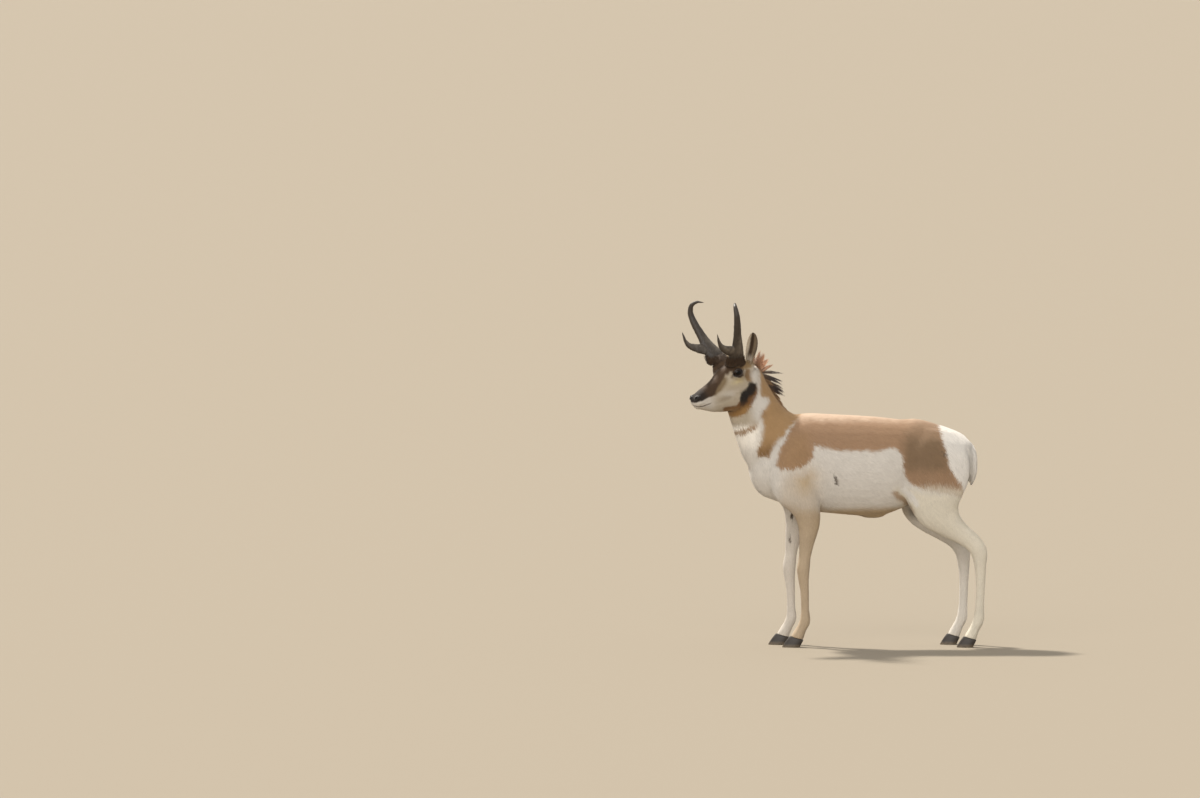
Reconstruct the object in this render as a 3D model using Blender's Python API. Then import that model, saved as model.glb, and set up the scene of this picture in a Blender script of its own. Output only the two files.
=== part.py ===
"""A standing pronghorn buck at life size, in metres, +Z up.

It looks towards -Y, its left side is towards +X, and its head is turned to its left.
Flesh is lofted from named rows of body sizes, fused into one skin, and parted into the
pieces a person would name by thin cuts. Horns, ears, eyes, tail and hooves are solids of
their own, each seated in a recess of what it grows from. The origin is on the floor,
in the middle of the bounding box.
"""

import math

import bmesh
import bpy
import numpy as np
from mathutils import Matrix, Vector
from mathutils.bvhtree import BVHTree

# Driving sizes
GAP = 0.0003
HEAD_TURN = math.radians(38)
HEAD_PITCH = math.radians(15)
NOSE_TIP = Vector((0.176, -0.631, 0.933))
EYE_RADIUS = 0.0205
EAR_LENGTH = 0.134
CORONET_HEIGHT = 0.036

# Steps of the voxel skins and the triangles that each keeps
BODY_VOXEL = 0.0055
HEAD_VOXEL = 0.0026
BODY_TRIANGLES = 4400
HEAD_TRIANGLES = 2600
HORN_TRIANGLES = 600

# How far each right foot stands from the left one of its pair, along Y
FAR_FORELEG_STEP = -0.050
FAR_HINDLEG_STEP = -0.058

COLOURS = {
    "coat_tan": ((0.46, 0.29, 0.16), 0.8),
    "coat_white": ((0.80, 0.76, 0.68), 0.8),
    "horn": ((0.035, 0.028, 0.024), 0.45),
    "eye": ((0.02, 0.012, 0.008), 0.08),
    "hoof": ((0.05, 0.043, 0.038), 0.5),
}


def clear_scene():
    for thing in list(bpy.data.objects):
        bpy.data.objects.remove(thing)


def material(name):
    found = bpy.data.materials.get(name)
    if found:
        return found
    colour, roughness = COLOURS[name]
    made = bpy.data.materials.new(name)
    made.use_nodes = True
    shader = made.node_tree.nodes["Principled BSDF"]
    shader.inputs["Base Color"].default_value = (*colour, 1)
    shader.inputs["Roughness"].default_value = roughness
    shader.inputs["Metallic"].default_value = 0
    return made


def object_from(name, mesh):
    made = bpy.data.objects.new(name, mesh)
    bpy.context.scene.collection.objects.link(made)
    return made


def mesh_from(name, work):
    mesh = bpy.data.meshes.new(name)
    work.to_mesh(mesh)
    work.free()
    return mesh


def settle(thing):
    """Applies a thing's modifiers and its place to its mesh."""
    bpy.context.view_layer.update()
    graph = bpy.context.evaluated_depsgraph_get()
    mesh = bpy.data.meshes.new_from_object(thing.evaluated_get(graph))
    mesh.transform(thing.matrix_world)
    thing.modifiers.clear()
    thing.matrix_world = Matrix.Identity(4)
    thing.data = mesh
    return thing


def smooth_span(before, start, end, after, t):
    """The point at share t of the way from start to end, on a smooth curve through all four."""
    return 0.5 * (
        2 * start
        + (end - before) * t
        + (2 * before - 5 * start + 4 * end - after) * t**2
        + (3 * start - before - 3 * end + after) * t**3
    )


def eased(rows, steps):
    """The rows of numbers with a smooth curve drawn through them, steps points to each span."""
    rows = np.array(rows, float)
    padded = np.vstack([2 * rows[0] - rows[1], rows, 2 * rows[-1] - rows[-2]])
    made = []
    for i in range(len(rows) - 1):
        for t in np.arange(steps) / steps:
            made.append(smooth_span(*padded[i : i + 4], t))
    made.append(rows[-1])
    return np.array(made)


def rounded(value, squareness):
    """A sine or cosine pushed outwards, so that the ring it draws runs from an ellipse, at 2, to a box."""
    return math.copysign(abs(value) ** (2 / squareness), value)


def loft(name, rows, sides=24, steps=4, facing=None, across=(1, 0, 0), squareness=2):
    """A closed tube through rows of (x, y, z, half width, reach ahead, reach behind, turn in degrees).

    The rings stand across the path. Width lies along across turned by the row's turn about Z, and
    the reach ahead is on the side that the width crossed with the path points to. With facing
    given, every ring faces that way instead of along the path. Squareness fills out the rings."""
    path = eased([list(row) + [0.0] * (7 - len(row)) for row in rows], steps)
    points = path[:, :3]
    heading = np.gradient(points, axis=0)
    work = bmesh.new()
    rings = []
    for row, ahead in zip(path, heading):
        tangent = Vector(facing or ahead).normalized()
        width = Matrix.Rotation(math.radians(row[6]), 3, "Z") @ Vector(across)
        width = (width - tangent * width.dot(tangent)).normalized()
        depth = width.cross(tangent)
        centre = Vector(row[:3])
        ring = []
        for k in range(sides):
            angle = 2 * math.pi * k / sides
            reach = row[4] if math.sin(angle) >= 0 else row[5]
            ring.append(
                work.verts.new(
                    centre
                    + width * (max(row[3], 0.0004) * rounded(math.cos(angle), squareness))
                    + depth * (max(reach, 0.0004) * rounded(math.sin(angle), squareness))
                )
            )
        rings.append(ring)
    for near, far in zip(rings, rings[1:]):
        for k in range(sides):
            nxt = (k + 1) % sides
            work.faces.new((near[k], far[k], far[nxt], near[nxt]))
    work.faces.new(rings[0])
    work.faces.new(rings[-1][::-1])
    bmesh.ops.triangulate(work, faces=work.faces)
    bmesh.ops.recalc_face_normals(work, faces=work.faces)
    return object_from(name, mesh_from(name, work))


def ellipsoid(name, centre, radii, sides=20):
    work = bmesh.new()
    bmesh.ops.create_uvsphere(work, u_segments=sides, v_segments=sides // 2 + 2, radius=1)
    bmesh.ops.scale(work, vec=radii, verts=work.verts)
    bmesh.ops.translate(work, vec=centre, verts=work.verts)
    return object_from(name, mesh_from(name, work))


def flip(thing):
    """Turns a thing into its mirror image across the X = 0 plane, its faces still pointing out."""
    work = bmesh.new()
    work.from_mesh(thing.data)
    bmesh.ops.scale(work, vec=(-1, 1, 1), verts=work.verts)
    bmesh.ops.reverse_faces(work, faces=work.faces)
    thing.data = mesh_from(thing.data.name, work)
    return thing


def joined(name, pieces):
    """The pieces' meshes in one object, still overlapping."""
    work = bmesh.new()
    for piece in pieces:
        work.from_mesh(piece.data)
        bpy.data.objects.remove(piece)
    return object_from(name, mesh_from(name, work))


def fused(name, pieces, voxel, rounds, triangles):
    """The pieces as one closed skin, its creases softened and its flat stretches thinned out."""
    skin = joined(name, pieces)
    remesh = skin.modifiers.new("one_skin", "REMESH")
    remesh.mode = "VOXEL"
    remesh.voxel_size = voxel
    soften = skin.modifiers.new("soft_creases", "SMOOTH")
    soften.factor = 0.5
    soften.iterations = rounds
    settle(skin)
    faces = 2 * len(skin.data.polygons)
    thin = skin.modifiers.new("fewer_faces", "DECIMATE")
    thin.ratio = triangles / faces
    thin.use_collapse_triangulate = True
    return settle(skin)


def boolean(thing, other, operation, solver="EXACT"):
    """thing joined to, cut by or kept within other, which stays."""
    step = thing.modifiers.new(operation.lower(), "BOOLEAN")
    step.operation = operation
    step.object = other
    step.solver = solver
    return settle(thing)


def cut_away(thing, cutters):
    for cutter in cutters:
        boolean(thing, cutter, "DIFFERENCE")
        bpy.data.objects.remove(cutter)
    return largest_body(thing)


def copy_of(thing, name):
    return object_from(name, thing.data.copy())


def bodies_in(work):
    """The connected sets of vertices, the one with the most vertices first."""
    unseen = set(work.verts)
    found = []
    while unseen:
        body = {unseen.pop()}
        edge_of_body = list(body)
        while edge_of_body:
            vertex = edge_of_body.pop()
            for edge in vertex.link_edges:
                other = edge.other_vert(vertex)
                if other not in body:
                    body.add(other)
                    edge_of_body.append(other)
        unseen -= body
        found.append(body)
    return sorted(found, key=len, reverse=True)


def largest_body(thing):
    work = bmesh.new()
    work.from_mesh(thing.data)
    bmesh.ops.triangulate(work, faces=work.faces)
    for scrap in bodies_in(work)[1:]:
        bmesh.ops.delete(work, geom=list(scrap), context="VERTS")
    thing.data = mesh_from(thing.data.name, work)
    return thing


def slab(name, point, normal, reach=2.0):
    """A big block that fills the side of a plane that its normal points to."""
    work = bmesh.new()
    bmesh.ops.create_cube(work, size=2 * reach)
    bmesh.ops.translate(work, vec=(0, 0, reach), verts=work.verts)
    block = object_from(name, mesh_from(name, work))
    turn = Vector(normal).normalized().to_track_quat("Z", "Y")
    block.matrix_world = Matrix.Translation(Vector(point)) @ turn.to_matrix().to_4x4()
    return settle(block)


def kept_on_side(thing, point, normal):
    """thing on the side of a plane that the normal points to, half a gap clear of the plane."""
    away = Vector(normal).normalized()
    block = slab("side_cutter", Vector(point) + away * GAP / 2, -away)
    boolean(thing, block, "DIFFERENCE")
    bpy.data.objects.remove(block)
    return largest_body(thing)


def prism(name, outline, inner, outer, grow=0.0):
    """A block of an outline in the Y Z plane, rounded through its points, between two X values."""
    loop = np.array(outline, float)
    count = len(loop)
    work = bmesh.new()
    ring = []
    for i in range(count):
        corners = [loop[(i + k) % count] for k in (-1, 0, 1, 2)]
        for t in (0.0, 0.25, 0.5, 0.75):
            ring.append(smooth_span(*corners, t))
    ring = np.array(ring)
    along = np.roll(ring, -1, axis=0) - np.roll(ring, 1, axis=0)
    outward = np.stack([along[:, 1], -along[:, 0]], axis=1)
    outward /= np.linalg.norm(outward, axis=1, keepdims=True)
    area = np.sum(ring[:, 0] * np.roll(ring[:, 1], -1) - np.roll(ring[:, 0], -1) * ring[:, 1])
    ring = ring + outward * grow * np.sign(area)
    low, high = sorted((inner, outer))
    near = [work.verts.new((low - grow, y, z)) for y, z in ring]
    face = work.faces.new(near)
    made = bmesh.ops.extrude_face_region(work, geom=[face])
    moved = [v for v in made["geom"] if isinstance(v, bmesh.types.BMVert)]
    bmesh.ops.translate(work, vec=(high - low + 2 * grow, 0, 0), verts=moved)
    bmesh.ops.recalc_face_normals(work, faces=work.faces)
    return object_from(name, mesh_from(name, work))


# The trunk: y, top, bottom, height of the widest level, half width
TRUNK = (
    (-0.416, 0.694, 0.650, 0.670, 0.020),
    (-0.402, 0.742, 0.606, 0.668, 0.052),
    (-0.372, 0.790, 0.566, 0.668, 0.079),
    (-0.325, 0.826, 0.545, 0.668, 0.094),
    (-0.260, 0.861, 0.524, 0.668, 0.106),
    (-0.190, 0.871, 0.505, 0.670, 0.115),
    (-0.100, 0.867, 0.495, 0.672, 0.123),
    (0.000, 0.862, 0.487, 0.664, 0.129),
    (0.080, 0.856, 0.489, 0.662, 0.127),
    (0.150, 0.848, 0.512, 0.680, 0.115),
    (0.212, 0.850, 0.546, 0.705, 0.109),
    (0.280, 0.832, 0.578, 0.712, 0.110),
    (0.350, 0.808, 0.598, 0.700, 0.098),
    (0.392, 0.785, 0.614, 0.690, 0.074),
    (0.414, 0.750, 0.640, 0.684, 0.042),
)

# Centre and radii
SHEATH = ((0, 0.045, 0.489), (0.018, 0.050, 0.012))
SCROTUM = ((0, 0.212, 0.535), (0.024, 0.026, 0.044))

# The neck, from inside the chest to inside the skull, with its throat ahead
NECK = (
    (0.000, -0.275, 0.705, 0.080, 0.130, 0.135, 0),
    (0.000, -0.332, 0.770, 0.084, 0.126, 0.136, 0),
    (0.002, -0.372, 0.830, 0.078, 0.106, 0.112, 4),
    (0.006, -0.402, 0.893, 0.070, 0.095, 0.098, 12),
    (0.014, -0.424, 0.953, 0.064, 0.094, 0.090, 24),
    (0.022, -0.434, 1.005, 0.059, 0.082, 0.078, 34),
    (0.026, -0.440, 1.040, 0.048, 0.060, 0.055, 38),
)

# A near leg from the shoulder blade or hip down: x, y, z, half width, reach behind, reach ahead
FORELEG = (
    (0.046, -0.205, 0.825, 0.020, 0.045, 0.040),
    (0.068, -0.226, 0.760, 0.034, 0.072, 0.066),
    (0.080, -0.252, 0.690, 0.041, 0.090, 0.084),
    (0.086, -0.258, 0.625, 0.044, 0.092, 0.086),
    (0.088, -0.232, 0.570, 0.043, 0.082, 0.074),
    (0.085, -0.207, 0.515, 0.037, 0.060, 0.050),
    (0.081, -0.196, 0.455, 0.029, 0.046, 0.038),
    (0.078, -0.200, 0.395, 0.0225, 0.031, 0.030),
    (0.076, -0.206, 0.340, 0.0195, 0.023, 0.024),
    (0.075, -0.211, 0.295, 0.0225, 0.024, 0.027),
    (0.074, -0.211, 0.255, 0.0185, 0.021, 0.022),
    (0.073, -0.208, 0.210, 0.0150, 0.018, 0.017),
    (0.072, -0.206, 0.140, 0.0150, 0.017, 0.016),
    (0.072, -0.207, 0.100, 0.0200, 0.023, 0.019),
    (0.072, -0.219, 0.070, 0.0200, 0.020, 0.019),
    (0.072, -0.232, 0.046, 0.0245, 0.025, 0.022),
    (0.072, -0.243, 0.022, 0.0250, 0.026, 0.023),
)
HINDLEG = (
    (0.052, 0.262, 0.812, 0.022, 0.070, 0.070),
    (0.072, 0.264, 0.750, 0.044, 0.122, 0.108),
    (0.080, 0.268, 0.685, 0.053, 0.144, 0.122),
    (0.084, 0.270, 0.620, 0.054, 0.136, 0.122),
    (0.085, 0.276, 0.562, 0.050, 0.116, 0.104),
    (0.085, 0.294, 0.508, 0.043, 0.090, 0.086),
    (0.084, 0.328, 0.464, 0.035, 0.056, 0.058),
    (0.083, 0.372, 0.426, 0.0275, 0.040, 0.040),
    (0.082, 0.414, 0.392, 0.0235, 0.037, 0.032),
    (0.081, 0.438, 0.355, 0.0225, 0.037, 0.027),
    (0.080, 0.446, 0.312, 0.0195, 0.026, 0.023),
    (0.079, 0.448, 0.250, 0.0155, 0.020, 0.018),
    (0.078, 0.445, 0.160, 0.0150, 0.018, 0.016),
    (0.077, 0.440, 0.104, 0.0200, 0.023, 0.019),
    (0.077, 0.427, 0.072, 0.0200, 0.020, 0.019),
    (0.077, 0.414, 0.046, 0.0235, 0.024, 0.021),
    (0.077, 0.404, 0.022, 0.0240, 0.025, 0.022),
)
FORELEG_STANDS_FROM, FORELEG_SWINGS_FROM = 0.40, 0.66
HINDLEG_STANDS_FROM, HINDLEG_SWINGS_FROM = 0.42, 0.72

# Shoulder and haunch outlines in the Y Z plane, down past the floor, and how far out each leg starts
FORELEG_OUTLINE = (
    (-0.215, 0.800),
    (-0.330, 0.690),
    (-0.365, 0.590),
    (-0.375, 0.420),
    (-0.375, -0.060),
    (-0.105, -0.060),
    (-0.108, 0.220),
    (-0.122, 0.420),
    (-0.136, 0.490),
    (-0.138, 0.560),
    (-0.148, 0.700),
)
HINDLEG_OUTLINE = (
    (0.245, 0.790),
    (0.165, 0.710),
    (0.138, 0.620),
    (0.160, 0.535),
    (0.200, 0.455),
    (0.250, 0.300),
    (0.260, -0.060),
    (0.540, -0.060),
    (0.530, 0.440),
    (0.425, 0.560),
    (0.385, 0.680),
    (0.320, 0.775),
)
FORELEG_INNER_FACE = 0.040
HINDLEG_INNER_FACE = 0.024

# The tail, from its root down, with the reach behind first
TAIL = (
    (0.000, 0.374, 0.762, 0.016, 0.016, 0.014),
    (0.000, 0.404, 0.750, 0.025, 0.016, 0.014),
    (0.000, 0.420, 0.718, 0.032, 0.016, 0.014),
    (0.000, 0.424, 0.676, 0.034, 0.015, 0.013),
    (0.000, 0.421, 0.634, 0.025, 0.013, 0.010),
    (0.000, 0.413, 0.600, 0.007, 0.005, 0.004),
)

# The head in its own frame with the nose at its origin, from the nose back: y, top, bottom,
# widest level, half width
SKULL = (
    (0.007, 0.000, -0.026, -0.012, 0.013),
    (0.015, 0.009, -0.038, -0.013, 0.0235),
    (0.030, 0.017, -0.047, -0.016, 0.0285),
    (0.060, 0.029, -0.062, -0.024, 0.0300),
    (0.092, 0.0385, -0.077, -0.032, 0.0350),
    (0.125, 0.0475, -0.089, -0.036, 0.0420),
    (0.160, 0.0600, -0.098, -0.034, 0.0495),
    (0.195, 0.0730, -0.101, -0.026, 0.0545),
    (0.230, 0.0780, -0.092, -0.012, 0.0540),
    (0.262, 0.0700, -0.076, 0.000, 0.0500),
    (0.295, 0.0430, -0.052, 0.000, 0.0400),
)
SKULL_SQUARENESS = 2.4
# Swellings on the left of the head: centre, radii
HEAD_SWELLINGS = {
    "brow": ((0.039, 0.199, 0.044), (0.0330, 0.043, 0.032)),
    "horn_mound": ((0.036, 0.206, 0.058), (0.0325, 0.050, 0.034)),
    "cheekbone": ((0.032, 0.200, 0.010), (0.0240, 0.078, 0.046)),
    "temple": ((0.034, 0.238, 0.040), (0.026, 0.046, 0.038)),
    "cheek": ((0.025, 0.190, -0.036), (0.026, 0.066, 0.056)),
    "nostril_wing": ((0.0155, 0.019, -0.003), (0.0130, 0.0145, 0.0118)),
    "upper_lip": ((0.015, 0.031, -0.022), (0.0160, 0.026, 0.0115)),
    "ear_root": ((0.042, 0.250, 0.052), (0.023, 0.038, 0.028)),
}
CHIN = ((0.0, 0.033, -0.0395), (0.0180, 0.022, 0.0105))
EYE_PLACE = Vector((0.0492, 0.1965, 0.0455))
EYE_LOOK = Vector((0.92, -0.36, 0.06)).normalized()
# Half length and half height of the opening between the lids, how pointed its corners are, how deep
# in the head it starts, and how much wider it is at its outer end
EYE_OPENING = (0.0205, 0.0155)
LID_POINT = 0.22
LID_DEPTH = 0.008
LID_FLARE = 1.5
LID_SIDES = 22
EYE_SIDES = 20
MOUTH_GROOVE_RADIUS = 0.0017
# The left half of the furrow between the lips, and the pit and slit of the left nostril
MOUTH_LINE = (
    (0.0, 0.008, -0.0290),
    (0.014, 0.014, -0.0300),
    (0.030, 0.029, -0.0335),
    (0.034, 0.048, -0.0375),
    (0.036, 0.068, -0.0390),
    (0.038, 0.083, -0.0350),
)
NOSTRIL = (
    (0.0195, 0.001, 0.0005, 0.0042, 0.0046, 0.0036),
    (0.0175, 0.013, -0.0010, 0.0040, 0.0044, 0.0034),
    (0.0145, 0.024, -0.0020, 0.0028, 0.0034, 0.0026),
)
NOSTRIL_SLIT = (
    (0.0205, 0.009, 0.0020, 0.0032, 0.0030, 0.0030),
    (0.0270, 0.017, 0.0060, 0.0034, 0.0024, 0.0024),
    (0.0280, 0.026, 0.0085, 0.0016, 0.0012, 0.0012),
)
HORN_ROOT = Vector((0.050, 0.203, 0.078))
EAR_ROOT = Vector((0.052, 0.260, 0.066))
HEAD_ENDS_AT_NAPE = Vector((0, 0.296, 0.060))
HEAD_ENDS_AT_THROAT = Vector((0, 0.193, -0.108))
HORN_SEAT_DEPTH = 0.045
EAR_SEAT_DEPTH = 0.028

# The left horn above its root, in a frame turned with the head but not pitched:
# x, y, z, half thickness, reach ahead, reach behind
HORN_BEAM = (
    (0.000, -0.004, -0.002, 0.0195, 0.0350, 0.0330),
    (0.005, -0.006, 0.012, 0.0190, 0.0360, 0.0330),
    (0.019, -0.014, 0.034, 0.0172, 0.0350, 0.0310),
    (0.040, -0.028, 0.064, 0.0148, 0.0270, 0.0240),
    (0.0595, -0.0435, 0.102, 0.0130, 0.0172, 0.0172),
    (0.0765, -0.0572, 0.139, 0.0120, 0.0145, 0.0145),
    (0.0885, -0.0690, 0.178, 0.0102, 0.0112, 0.0116),
    (0.0860, -0.0715, 0.201, 0.0086, 0.0094, 0.0098),
    (0.0780, -0.0690, 0.216, 0.0070, 0.0076, 0.0080),
    (0.0610, -0.0570, 0.2255, 0.0048, 0.0050, 0.0052),
    (0.0420, -0.0400, 0.2215, 0.0016, 0.0016, 0.0016),
)
# The prong: its reach ahead is downwards
HORN_PRONG = (
    (0.026, -0.018, 0.049, 0.0110, 0.0270, 0.0190),
    (0.036, -0.050, 0.051, 0.0102, 0.0235, 0.0195),
    (0.045, -0.083, 0.056, 0.0092, 0.0180, 0.0160),
    (0.0500, -0.1085, 0.0655, 0.0076, 0.0125, 0.0110),
    (0.0520, -0.1240, 0.0840, 0.0055, 0.0070, 0.0062),
    (0.0550, -0.1375, 0.1190, 0.0015, 0.0015, 0.0015),
)
HORN_LEAN = (0.84, 0, -0.54)
HORN_VOXEL = 0.0020
# Each ear in the same frame: the direction of its length, and of its open side
EARS = {
    "ear_left": (1, Vector((0.48, -0.24, 0.83)), Vector((0.55, -0.80, -0.10))),
    "ear_right": (-1, Vector((0.94, 0.05, 0.28)), Vector((0.25, -0.55, -0.80))),
}
# Share of its length, half angle of the cup in degrees, radius
EAR_CUP = (
    (-0.06, 150, 0.0115),
    (0.06, 140, 0.0135),
    (0.22, 112, 0.0175),
    (0.42, 86, 0.0215),
    (0.62, 72, 0.0225),
    (0.80, 60, 0.0195),
    (0.93, 48, 0.0130),
    (0.995, 36, 0.0050),
)
EAR_THICKNESS = 0.0032
EAR_ROOT_THICKER, EAR_TIP_THINNER, EAR_RIM_THINNER = 1.35, 0.75, 0.45
EAR_LEAN = 0.010
EAR_MIDDLE_AHEAD = 0.35
EAR_COLUMNS = 7

# The hoof claws. Toe and heel are shares of the length, ahead of and behind the foot's centre
CLAW_LENGTH = 0.072
CLAW_HALF_WIDTH = 0.0108
CLEFT_HALF_WIDTH = 0.0022
CORONET_SLOPE = -0.28
HIND_CLAW_SCALE = 0.93
CLAW_SIDES = 14
TOE_AT_SOLE, TOE_AT_CORONET = 0.64, 0.42
HEEL = 0.31
TOE_POINT = 0.42
TOES_MEET = 0.05
INNER_FACE_SHARE = 0.86
SOLE_AHEAD, CORONET_BACK = 0.004, 0.014
# Share of the height and of the half width at each level of a claw
CLAW_LEVELS = ((0.0, 0.97), (0.12, 1.0), (0.55, 0.96), (1.0, 0.86))

# The mane down the nape: for each row its share of the way down, how far it lifts in degrees, its length
MANE_TOP, MANE_END = Vector((0.016, -0.385, 1.072)), Vector((0.000, -0.300, 0.905))
MANE_ROWS = (
    (0.00, 66, 0.058),
    (0.10, 56, 0.070),
    (0.20, 42, 0.078),
    (0.30, 22, 0.086),
    (0.40, 2, 0.092),
    (0.50, -10, 0.080),
    (0.60, -20, 0.066),
    (0.70, -28, 0.054),
    (0.80, -36, 0.044),
    (0.90, -42, 0.038),
)
MANE_COLUMNS = (-0.018, 0.0, 0.018)
MANE_HALF_WIDTH = 0.016
MANE_HALF_THICKNESS = 0.0026
MANE_SEED = 5
HALF_ROW = 0.05
LOCK_SPANS = 4
LOCK_TIP = 0.0004
LOCK_ROOT_DEPTH = 0.010
LOCK_LEAST_RISE = 0.38
LOCK_SPLAY = 9
LOCK_STRAY = (-7, 7)
LOCK_ROLL = (25, 60)
LOCK_BEND = (0.25, 0.5)


def head_matrix():
    return (
        Matrix.Translation(NOSE_TIP)
        @ Matrix.Rotation(HEAD_TURN, 4, "Z")
        @ Matrix.Rotation(HEAD_PITCH, 4, "X")
    )


def turned_frame(root):
    """A frame at a point of the head that turns with the head but stays upright."""
    return Matrix.Translation(head_matrix() @ root) @ Matrix.Rotation(HEAD_TURN, 4, "Z")


def on_side(point, side):
    """A point given for the left, side 1, or its mirror image on the right, side -1."""
    return Vector((side * point[0], point[1], point[2]))


def placed(thing, matrix):
    thing.data.transform(matrix)
    return thing


def barrel_rows(rows):
    """Rows of top, bottom and widest level as loft rows whose path runs along Y."""
    return [(0, y, wide, half, top - wide, wide - bottom) for y, top, bottom, wide, half in rows]


def limb_rows(rows, side, step, stands_from, swings_from):
    """A near leg's rows for one side, with its foot moved along Y by step and its root left alone."""
    made = []
    for x, y, z, half, behind, ahead in rows:
        share = min(1, max(0, (swings_from - z) / (swings_from - stands_from)))
        moved = y + step * share * share * (3 - 2 * share)
        made.append((side * x, moved, z, half, behind, ahead))
    return made


LEGS = {
    "foreleg_left": (FORELEG, 1, 0.0, FORELEG_STANDS_FROM, FORELEG_SWINGS_FROM),
    "foreleg_right": (FORELEG, -1, FAR_FORELEG_STEP, FORELEG_STANDS_FROM, FORELEG_SWINGS_FROM),
    "hindleg_left": (HINDLEG, 1, 0.0, HINDLEG_STANDS_FROM, HINDLEG_SWINGS_FROM),
    "hindleg_right": (HINDLEG, -1, FAR_HINDLEG_STEP, HINDLEG_STANDS_FROM, HINDLEG_SWINGS_FROM),
}


def make_flesh():
    """Trunk, neck and legs as one skin."""
    pieces = [loft("trunk", barrel_rows(TRUNK), 32, 4, (0, 1, 0)), loft("neck_core", NECK, 32)]
    for name, leg in LEGS.items():
        pieces.append(loft(name + "_core", limb_rows(*leg), 20))
    pieces.append(ellipsoid("sheath", *SHEATH))
    pieces.append(ellipsoid("scrotum", *SCROTUM))
    return fused("flesh", pieces, BODY_VOXEL, 7, BODY_TRIANGLES)


def foot_centre(name):
    rows = limb_rows(*LEGS[name])
    return Vector((rows[-1][0], rows[-1][1], 0))


def coronet_point(name):
    return foot_centre(name) + Vector((0, 0, CORONET_HEIGHT))


def claw(name, leg, inner):
    """One claw of a foot: a pointed wedge, flat below, with its top in the coronet's plane."""
    scale = HIND_CLAW_SCALE if leg.startswith("hind") else 1.0
    centre = foot_centre(leg)
    side = 1 if centre.x > 0 else -1
    towards = -side if inner else side
    length, half = CLAW_LENGTH * scale, CLAW_HALF_WIDTH * scale
    rings = []
    work = bmesh.new()
    for share, spread in CLAW_LEVELS:
        toe = TOE_AT_SOLE + (TOE_AT_CORONET - TOE_AT_SOLE) * share
        ring = []
        for k in range(CLAW_SIDES):
            angle = 2 * math.pi * k / CLAW_SIDES
            ahead = math.cos(angle)
            reach = ahead * length * (toe if ahead > 0 else HEEL)
            across = math.sin(angle) * half * spread * (1 - TOE_POINT * max(0, ahead) ** 2)
            if across * towards < 0:
                across *= INNER_FACE_SHARE
            x = towards * (CLEFT_HALF_WIDTH + half - TOES_MEET * max(0, reach)) + across
            y = -reach - (SOLE_AHEAD - CORONET_BACK * share) * scale
            top = CORONET_HEIGHT + CORONET_SLOPE * y - GAP
            ring.append(work.verts.new(centre + Vector((x, y, share * top))))
        rings.append(ring)
    for low, high in zip(rings, rings[1:]):
        for k in range(CLAW_SIDES):
            nxt = (k + 1) % CLAW_SIDES
            work.faces.new((low[k], low[nxt], high[nxt], high[k]))
    work.faces.new(rings[0][::-1])
    work.faces.new(rings[-1])
    bmesh.ops.recalc_face_normals(work, faces=work.faces)
    return object_from(name, mesh_from(name, work))


def neck_plane():
    """A point and normal of the cut between neck and trunk, the normal towards the head."""
    withers, breast = Vector((0, -0.236, 0.880)), Vector((0, -0.412, 0.636))
    along = withers - breast
    return (withers + breast) / 2, Vector((0, -along.z, along.y))


def head_plane():
    """A point and normal of the cut between head and neck, the normal towards the neck."""
    matrix = head_matrix()
    nape, throat = matrix @ HEAD_ENDS_AT_NAPE, matrix @ HEAD_ENDS_AT_THROAT
    across = matrix.to_3x3() @ Vector((1, 0, 0))
    return (nape + throat) / 2, across.cross(nape - throat) * -1


def make_legs(flesh):
    legs = []
    for name in LEGS:
        side = 1 if name.endswith("left") else -1
        fore = name.startswith("fore")
        outline = FORELEG_OUTLINE if fore else HINDLEG_OUTLINE
        inner = FORELEG_INNER_FACE if fore else HINDLEG_INNER_FACE
        region = prism("region", outline, side * inner, side * 0.4)
        leg = boolean(copy_of(flesh, name), region, "INTERSECT")
        bpy.data.objects.remove(region)
        legs.append(largest_body(leg))
    return legs


def make_torso(flesh):
    torso = copy_of(flesh, "torso")
    for outline, inner in (
        (FORELEG_OUTLINE, FORELEG_INNER_FACE),
        (HINDLEG_OUTLINE, HINDLEG_INNER_FACE),
    ):
        for side in (1, -1):
            region = prism("region", outline, side * inner, side * 0.4, GAP)
            boolean(torso, region, "DIFFERENCE")
            bpy.data.objects.remove(region)
    point, normal = neck_plane()
    return kept_on_side(torso, point, -normal)


def eye_frame(side):
    """A frame at an eye whose Z looks out of it, in the head's frame."""
    place, look = on_side(EYE_PLACE, side), on_side(EYE_LOOK, side)
    ahead = Vector((0, -1, -0.18))
    ahead = (ahead - look * ahead.dot(look)).normalized()
    turn = Matrix((ahead, look.cross(ahead), look)).transposed().to_4x4()
    return Matrix.Translation(place) @ turn


def ball(name, radius, matrix):
    work = bmesh.new()
    bmesh.ops.create_uvsphere(work, u_segments=EYE_SIDES, v_segments=EYE_SIDES // 2, radius=radius)
    bmesh.ops.transform(work, matrix=matrix, verts=work.verts)
    return object_from(name, mesh_from(name, work))


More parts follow.
